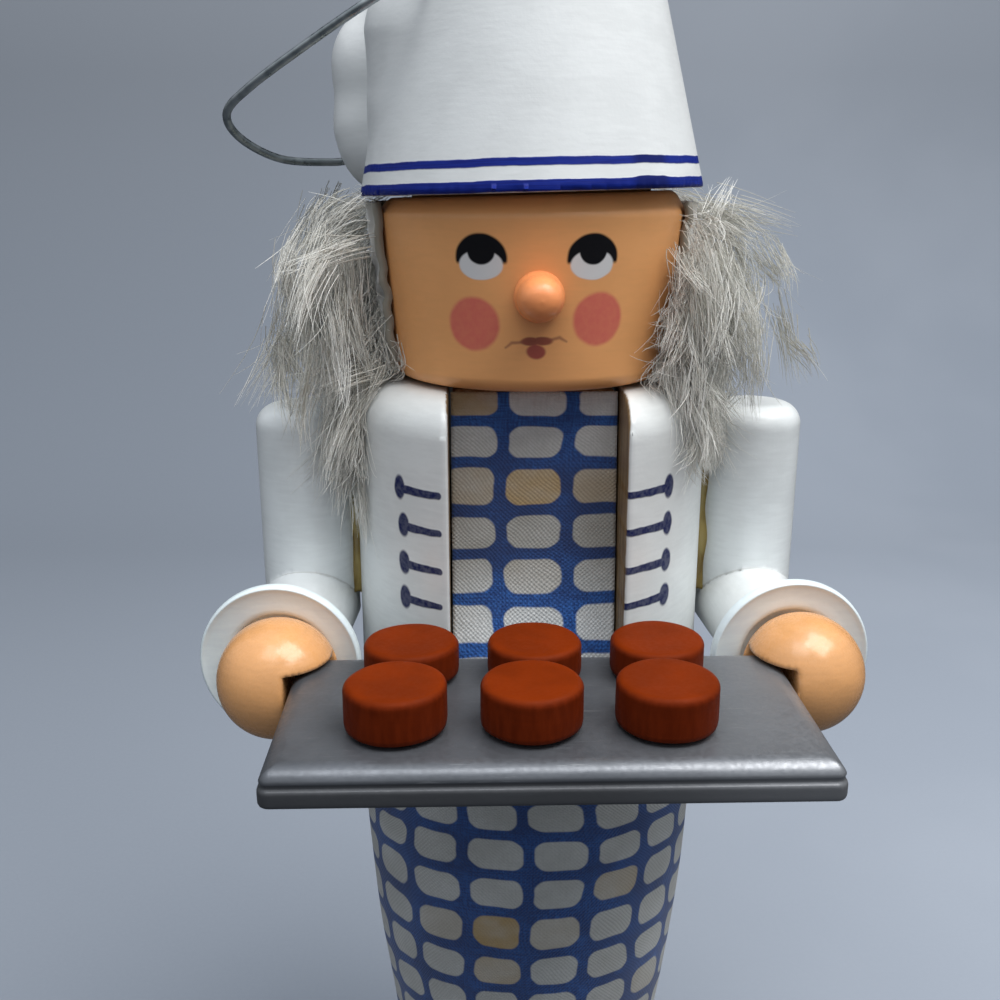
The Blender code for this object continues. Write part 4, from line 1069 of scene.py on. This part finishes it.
def from_forearm(aside, along, up, sign):
    """The figure's own place of points given beside, along and above the forearm's axis."""
    cosine, sine = math.cos(FOREARM_SPLAY), sign * math.sin(FOREARM_SPLAY)
    x = sign * ARM_X + aside * cosine + along * sine
    return np.stack([x, AXIS_Y - along * cosine + aside * sine, ELBOW_HEIGHT + up], axis=-1)


def arm_distance(points, sign):
    """Upper arm and forearm, mitred at the elbow."""
    x = points[:, 0] - sign * ARM_X
    forward = AXIS_Y - points[:, 1]
    aside, along, up = along_forearm(points, sign).T
    top = ARM_TOP - ELBOW_HEIGHT
    upper = drum_distance(np.hypot(x, forward), up, ARM_RADIUS, -20, top, 0.1, ARM_ROUNDING)
    fore = drum_distance(np.hypot(aside, up), along, ARM_RADIUS, -20, CUFF_BACK - GAP, 0.1, 0.1)
    mitre = (forward - up) / math.sqrt(2)
    return np.minimum(np.maximum(upper, mitre), np.maximum(fore, -mitre))


def hand_distance(points, sign, centre):
    """A ball cut flat in the cuff's dish and slotted for the tray."""
    ball = np.linalg.norm(points - centre, axis=1) - HAND_RADIUS
    ball = np.maximum(ball, CUFF_FRONT - DISH_DEPTH + GAP - along_forearm(points, sign)[:, 1])
    inner, outer = sorted((sign * (TRAY_HIGH[0] + GAP), 0.0))
    low = (inner, -60, TRAY_LOW[2] - GAP)
    high = (outer, TRAY_HIGH[1] + GAP, TRAY_HIGH[2] + GAP)
    return common(ball, -box_distance(points, low, high), 0.35)


def cuff_profile():
    """Flared disc: a thin rim and a wide shallow dish that steps down under the hand."""
    rim = [(6.1, 1.8), (6.9, 2.7), (7.16, 3.0), (7.2, 3.45), (7.14, 3.80), (6.98, 3.98), (6.80, 3.92)]
    dish = [(6.5, 3.80), (5.8, 3.66), (5.2, 3.60), (4.8, 3.54), (4.45, 3.35), (4.25, 2.95)]
    return [(0.0, 0.0), (4.9, 0.0), (5.1, 0.15)] + smooth_profile(rim + dish, 4).tolist() + [(0.0, 2.9)]


def make_arms():
    """Sleeves, cuffs and hands on both sides."""
    sleeve = sleeve_paint()
    # The cuffs' white is paler and bluer than the jacket's: painted light.
    cuff_white = painted("cuff_white", (0.86, 0.96, 1.0), 0.34, coat=0.15).finish()
    flesh = painted("hand_flesh", (0.78, 0.39, 0.155), 0.26, mottle=0.10, coat=0.28).finish()
    for side, sign in SIDES:
        low = (sign * ARM_X - 6, AXIS_Y - CUFF_BACK - 1, ELBOW_HEIGHT - 6)
        high = (sign * ARM_X + 6, AXIS_Y + 6, ARM_TOP + 1)
        points, faces = implicit(lambda spots: arm_distance(spots, sign), low, high, 0.29)
        nodes = ["upper_arm_" + side, "forearm_" + side]
        piece("sleeve_" + side, points, faces, sleeve, nodes, slot="white_paint")
        points, faces = turned(cuff_profile(), 96)
        placed = from_forearm(points[:, 0], CUFF_BACK + points[:, 2], points[:, 1], sign)
        piece("cuff_disc_" + side, placed, faces, cuff_white, ["cuff_" + side], slot="white_paint")
        centre = from_forearm(0.0, HAND_REACH, 0.0, sign)
        centre[0] -= sign * HAND_OFFSETS[side]
        low, high = centre - 6, centre + 6
        points, faces = implicit(lambda spots: hand_distance(spots, sign, centre), low, high, 0.25)
        piece("hand_ball_" + side, points, faces, flesh, ["hand_" + side], slot="hand_paint")


def make_seams():
    """Yellowed glue between the jacket and each arm, partly painted shade in the seam, with a ring of six
    corners at each height.
    """
    heights = np.linspace(ELBOW_HEIGHT + 1.5, ARM_TOP - 2.2, 60)
    upright = np.stack([0 * heights, 0 * heights, heights], axis=-1)
    corners = ((1.0, 0.0), (0.86, 0.5), (1.0, 1.0), (-1.0, 1.0), (-0.86, 0.5), (-1.0, 0.0))
    for side, sign in SIDES:
        half = 1.75 + 0.25 * ripple(upright, 5.0, 21 + sign)
        lines = []
        for place, share in corners:
            forward = half * place
            inner = np.sqrt(TORSO_RADIUS**2 - forward**2) - 0.02
            outer = ARM_X - np.sqrt(ARM_RADIUS**2 - forward**2) + 0.02
            x = sign * (inner + (outer - inner) * share)
            lines.append(np.stack([x, AXIS_Y - forward, heights], axis=-1))
        points = np.stack(lines[::sign], axis=1).reshape(-1, 3)
        number = np.arange(len(points)).reshape(len(heights), len(corners))
        sides = grid_faces(np.column_stack([number, number[:, 0]]))
        start = number[0, [[0, 1, 4, 5], [1, 2, 3, 4]]]
        end = number[-1, [[5, 4, 1, 0], [4, 3, 2, 1]]]
        piece("glue_seam_" + side, points, np.vstack([sides, start, end]), GLUE, slot="white_paint")


# Tray and cakes

TRAY_CORNER = 0.9
GROOVE_DROP = 1.3


def tray_distance(points):
    """A flat board with rounded corners, an eased top edge and a fine groove round its side."""
    centre = (TRAY_LOW + TRAY_HIGH) / 2
    half = (TRAY_HIGH - TRAY_LOW) / 2
    beyond = np.abs(points[:, :2] - centre[:2]) - half[:2] + TRAY_CORNER
    side = np.linalg.norm(np.maximum(beyond, 0), axis=1) + np.minimum(beyond.max(1), 0) - TRAY_CORNER
    above = points[:, 2] - TRAY_HIGH[2]
    board = common(common(side, above, 1.9), TRAY_LOW[2] - points[:, 2], 0.5)
    groove = np.hypot(side, above + GROOVE_DROP) - 0.26
    return common(board, -groove, 0.15)


def make_tray():
    """The tray board."""
    points, faces = implicit(tray_distance, TRAY_LOW - 0.8, TRAY_HIGH + 0.8, 0.21)
    piece("tray_board", points, faces, tray_paint(), ["tray"], slot="grey_paint")


def make_cakes():
    """Six slices of dowel, each a little uneven."""
    paint = cake_paint()
    angles = np.arange(80) * math.tau / 80
    for number in range(1, 7):
        low, high = span("cake_%d" % number)
        radius = (high[0] - low[0]) / 2
        height = high[2] - low[2]
        chance = np.random.default_rng(40 + number)
        phase = chance.uniform(0, math.tau, 3)
        wobble = 0.03 * np.sin(2 * angles + phase[0]) + 0.02 * np.sin(5 * angles + phase[1]) - 0.02
        profile = [(0.0, 0.0), (radius - 0.25, 0.0), (radius - 0.05, 0.15)]
        profile += [(radius, 0.5), (radius, height * 0.5), (radius - 0.01, height - 0.75)]
        profile += arc((radius - 0.6, height - 0.62), 0.6, 5, 88, 8)
        profile += [(radius - 1.2, height - 0.03), (radius * 0.5, height - 0.06)]
        profile += [(0.9, height - 0.10), (0.0, height - 0.10)]
        points, faces = turned(profile, 80, wobble)
        lean = chance.uniform(-0.006, 0.006, 2)
        points[:, 2] += points[:, :2] @ lean + 0.02
        points += ((low[0] + high[0]) / 2, (low[1] + high[1]) / 2, low[2])
        piece("cake_slice_%d" % number, points, faces, paint, ["cake_%d" % number], slot="cake_paint")


# Shoes

SOLE_THICKNESS = 1.25


def shoe_distance(points, low, high):
    """A low domed shoe, flat above and below, with a fine line round its sole."""
    middle, half = (low + high) / 2, (high - low) / 2
    dome = ellipsoid_distance(points, (middle[0], middle[1], 3.2), (half[0], half[1], 7.7))
    dome = common(common(dome, -points[:, 2], 0.6), points[:, 2] - high[2], 0.6)
    line = np.hypot(dome, points[:, 2] - SOLE_THICKNESS) - 0.16
    return common(dome, -line, 0.15)


def make_shoes():
    """Glossy black shoes with browner soles."""
    paint = painted("shoe_black", (0.018, 0.018, 0.020), 0.20, mottle=0.3, coat=0.6)
    sole = paint.place().split()[2].fade(SOLE_THICKNESS, SOLE_THICKNESS - 0.2)
    paint.cover(sole, (0.045, 0.030, 0.020))
    black = paint.finish()
    for side, _ in SIDES:
        low, high = span("shoe_" + side)
        points, faces = implicit(lambda spots: shoe_distance(spots, low, high), low - 1, high + 1, 0.36)
        piece("shoe_upper_" + side, points, faces, black, ["shoe_" + side], slot="shoe_paint")


# Fur hair: guides are falling paths, tufts lean off the guides, and fibres follow the tufts

FUR_LAYERS = 3
FIBRES = 6400
GUIDE_STEPS = 12
ROOT_RISE = 2.6
ROOT_SPREAD = 12.9


def cleared(points, centre, least):
    """Move points level, until they are at least so far from an upright axis."""
    offset = points[:, :2] - centre
    reach = np.maximum(np.linalg.norm(offset, axis=1), 1e-6)
    short = reach < least
    points[short, :2] += offset[short] * (least[short] / reach[short] - 1)[:, None]


def rounded_post(height, top, radius, rounding):
    """Radius at a height of an upright post with a rounded top edge."""
    share = np.clip((top - height) / rounding, 0, 1)
    return radius - rounding * (1 - np.sqrt(1 - (1 - share) ** 2))


def pushed_out(paths):
    """Paths moved out of the head, hat, jacket and arms."""
    points = paths.reshape(-1, 3).copy()
    height = points[:, 2]
    beside = head_radius(np.clip(height, HEAD_BOTTOM, HEAD_TOP)) + 0.2
    least = np.where(height > HAT_BOTTOM - 0.6, BRIM_RADIUS + 0.3, beside)
    jacket = rounded_post(height, BODY_TOP + 0.3, TORSO_RADIUS, SHOULDER_ROUNDING) + 0.3
    least = np.where(height < HEAD_BOTTOM, jacket, least)
    arm = np.where(height < ARM_TOP, rounded_post(height, ARM_TOP, ARM_RADIUS, ARM_ROUNDING) + 0.2, 0.0)
    for _ in range(2):
        cleared(points, (0.0, AXIS_Y), least)
        for _, sign in SIDES:
            cleared(points, (sign * ARM_X, AXIS_Y), arm)
    return points.reshape(paths.shape)


def fur_guides(count, angles, seed, forward, length, fall, aside=0.0, lift=0.0):
    """Falling paths of locks that start round the head, as (count, steps, 3)."""
    chance = np.random.default_rng(seed)
    angle = np.radians(chance.uniform(*angles, count))
    upper = chance.uniform(0.0, 1.0, count) ** 0.85
    height = HEAD_BOTTOM + ROOT_RISE + ROOT_SPREAD * upper
    outward = np.stack([np.sin(angle), -np.cos(angle), 0 * angle], axis=-1)
    around = np.stack([np.cos(angle), np.sin(angle), 0 * angle], axis=-1)
    spot = outward * (head_radius(height) + 0.35)[:, None] + (0.0, AXIS_Y, 0.0)
    spot[:, 2] = height
    ahead = outward + around * chance.normal(0, 0.25, (count, 1))
    ahead[:, 0] += aside
    ahead[:, 1] -= chance.uniform(*forward, count)
    ahead[:, 2] += chance.uniform(-0.45, 0.15, count) + 0.5 * (upper - 0.5) + lift * upper**3
    length = chance.uniform(*length, count) * (0.75 + 0.35 * upper)
    fall = chance.uniform(*fall, count) * (1.5 - 0.8 * upper)
    curl = chance.normal(0, 1, (count, 3))
    path = [spot]
    for _ in range(GUIDE_STEPS):
        ahead = unit(ahead - np.outer(fall, (0.0, 0.0, 1.0)) + 0.07 * curl)
        path.append(pushed_out(path[-1] + ahead * (length / GUIDE_STEPS)[:, None]))
    return np.stack(path, axis=1)


def along_paths(paths, choice, at):
    """Points part of the way along chosen paths, 0 at the start and 1 at the end."""
    spot = np.clip(at, 0, 1) * (paths.shape[1] - 1)
    low = np.minimum(spot.astype(int), paths.shape[1] - 2)
    share = (spot - low)[..., None]
    rows = choice[:, None]
    return paths[rows, low] * (1 - share) + paths[rows, low + 1] * share


def fur_tufts(guides, count, seed, wild=0.07):
    """Short tufts that leave the falling paths all along them, each leaning its own way."""
    chance = np.random.default_rng(seed)
    choice = chance.integers(0, len(guides), count)
    start = chance.uniform(0.0, 0.76, count)
    length = chance.uniform(0.20, 0.42, count)
    along = np.linspace(0, 1, 9)
    path = along_paths(guides, choice, start[:, None] + along * length[:, None])
    lean = np.where(chance.uniform(size=count) < wild, 2.6, 1.3)
    turn = chance.normal(0, 1, (count, 3)) * lean[:, None]
    bend = chance.normal(0, 0.4, (count, 3))
    path = path + turn[:, None] * (along**1.3)[:, None] + bend[:, None] * np.sin(along * math.pi)[:, None]
    return pushed_out(path)


def in_lever_sweep(paths):
    """Which paths hang into the way of the rising handle."""
    x, y, z = np.moveaxis(paths, -1, 0)
    return ((np.abs(x) < 7.5) & (y > 12) & (z < LEVER_OPEN_TOP)).any(axis=1)


def fur(name, tufts, seed, base_tone=0.20):
    """Fibres that gather towards the tip of their tuft, some of them astray."""
    chance = np.random.default_rng(seed)
    choice = chance.integers(0, len(tufts), FIBRES)
    start = chance.uniform(0.0, 0.35, FIBRES)
    end = chance.uniform(0.65, 1.0, FIBRES)
    along = np.linspace(0, 1, 6)
    at = start[:, None] + along * (end - start)[:, None]
    path = along_paths(tufts, choice, at)
    offset = chance.normal(0, 0.75, (FIBRES, 3))
    astray = np.where(chance.uniform(size=FIBRES) < 0.14, 1.5, 0.40)
    drift = chance.normal(0, 1, (FIBRES, 3)) * astray[:, None]
    path = path + offset[:, None] * (1 - 0.60 * at)[..., None] + drift[:, None] * (along**1.5)[:, None]
    path = pushed_out(path)
    path[:, 1:-1] = 0.5 * path[:, 1:-1] + 0.25 * (path[:, :-2] + path[:, 2:])
    clear = ~in_lever_sweep(path)
    path, at, choice = path[clear], at[clear], choice[clear]
    thick = chance.uniform(0.026, 0.050, len(path))[:, None] * (1 - 0.75 * along**2)
    item = piece(name, *tubes(path, thick), FUR, ["hair"], slot="grey_fur")
    tuft_tone = chance.normal(0, 0.20, len(tufts))[choice]
    # Painted shade and light: each fibre is darker at its root, as shade between the tufts, and each side's
    # base tone paints how brightly that side is lit; the rest of the tone varies at random.
    tone = base_tone + 0.62 * at**1.2 + (chance.normal(0, 0.14, len(path)) + tuft_tone)[:, None]
    store(item, "tone", np.repeat(np.clip(tone, 0, 1).ravel(), 3))


def fur_backing():
    """The strip that the fur grows on, its dark colour partly painted shade under the fur's roots."""
    heights = np.linspace(HEAD_TOP - 0.1, HEAD_BOTTOM + 1.2, 24)
    angle, height = np.meshgrid(np.radians(np.linspace(66, 292, 120)), heights)
    relief = ripple(np.stack([np.sin(angle) * 14, np.cos(angle) * 14, height], axis=-1), 3.0, 9)
    radius = head_radius(height) + 0.55 + 0.2 * relief
    rows = np.stack([radius * np.sin(angle), AXIS_Y - radius * np.cos(angle), height], axis=-1)
    points, faces = shell(rows, 0.7)
    strip = piece("fur_backing", points, faces, FUR_MAT, ["hair"], slot="grey_fur")
    store(strip, "tone", np.full(len(points), 0.4))


def make_hair():
    """Fur down both sides and the back, on its backing."""
    left = fur_guides(120, (-150, -70), 5, (0.1, 0.9), (15.0, 24.0), (0.50, 0.95), 0.05, 1.1)
    right = fur_guides(130, (60, 150), 6, (0.2, 1.1), (13.5, 21.0), (0.44, 0.94), 0.46, 1.1)
    inner = fur_guides(40, (56, 80), 8, (0.9, 1.7), (11.0, 18.0), (0.50, 0.90), -0.15)
    back = fur_guides(90, (138, 222), 7, (-0.1, 0.3), (10.0, 17.0), (0.35, 0.70))
    left = fur_tufts(left, 560, 15, 0.12)
    right = fur_tufts(np.concatenate([right, inner]), 680, 16, 0.12)
    back = fur_tufts(back, 260, 17)
    # The base tones below are painted light: the right side lighter than the left, and the back, which keeps
    # the default, darkest.
    for number in range(FUR_LAYERS):
        fur("fur_left_%d" % (number + 1), left, 51 + number, 0.31)
        fur("fur_right_%d" % (number + 1), right, 61 + number, 0.36)
    fur("fur_back", back, 71)
    fur_backing()


# Everything

make_body()
skirt_cloth()
make_lever()
bib_cloth()
make_head()
make_nose()
make_hat()
make_eye()
make_hanger()
make_arms()
make_seams()
make_tray()
make_cakes()
make_shoes()
make_hair()

for node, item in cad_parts.items():
    if "dowel" in node or node == "lever_pin":
        item.data.materials.clear()
        item.data.materials.append(STEEL if node == "lever_pin" else WOOD)


# Floor and backdrop, light and camera

def make_stage():
    """A pale floor that curves up into a wall."""
    profile = [(-600.0, 0.0), (-200.0, 0.0), (60.0, 0.0), (240.0, 0.0)]
    for angle in np.linspace(0, math.pi / 2, 16)[1:]:
        profile.append((240 + 160 * math.sin(angle), 160 - 160 * math.cos(angle)))
    profile.append((400.0, 700.0))
    points = [(x, y, z) for x in np.linspace(-600, 600, 13) for y, z in profile]
    number = np.arange(len(points)).reshape(-1, len(profile))
    new_item("floor", points, grid_faces(number), floor_material())


def area_lamp(name, place, target, size, energy, colour):
    """A square soft lamp aimed at a point, in millimetres."""
    data = bpy.data.lights.new(name, "AREA")
    data.shape = "SQUARE"
    data.size = size * MM
    data.energy = energy
    data.color = colour
    lamp = bpy.data.objects.new(name, data)
    lamp.location = Vector(place) * MM
    lamp.rotation_euler = (Vector(target) - Vector(place)).to_track_quat("-Z", "Y").to_euler()
    bpy.context.scene.collection.objects.link(lamp)


def make_light():
    """A large soft key from the upper right front, a weak fill from the left and a room brighter above."""
    area_lamp("key", (150.0, -75.0, 430.0), (0.0, 7.0, 85.0), 260.0, 1.4, (1.0, 0.985, 0.96))
    area_lamp("fill", (-60.0, -130.0, 420.0), (0.0, 7.0, 95.0), 180.0, 0.30, (0.97, 0.99, 1.0))
    world = bpy.data.worlds.new("room")
    world.use_nodes = True
    room = Nodes(world.node_tree)
    upward = room.made("TexCoord", {}, "Generated").split()[2]
    glow = {"Value": upward, "From Min": -0.1, "From Max": 1.0, "To Min": 0.13, "To Max": 0.98}
    straight = room.made("LightPath", {}, "Is Camera Ray")
    seen = {"Value": straight, "To Min": room.made("MapRange", glow), "To Max": 0.42}
    background = world.node_tree.nodes["Background"]
    room.join((0.86, 0.92, 1.0), background.inputs["Color"])
    room.join(room.made("MapRange", seen), background.inputs["Strength"])
    bpy.context.scene.world = world


def make_camera():
    """The photograph's view: close, a little from above."""
    data = bpy.data.cameras.new("camera")
    data.sensor_width = 36.0
    data.lens = 38.99
    data.clip_start = 0.005
    camera = bpy.data.objects.new("camera", data)
    camera.location = Vector((-5.6, -96.85, 112.0)) * MM
    camera.rotation_euler = (math.radians(74.0), 0.0, -math.radians(1.5))
    bpy.context.scene.collection.objects.link(camera)
    bpy.context.scene.camera = camera


make_stage()
make_light()
make_camera()
bpy.context.scene.view_settings.view_transform = "Standard"
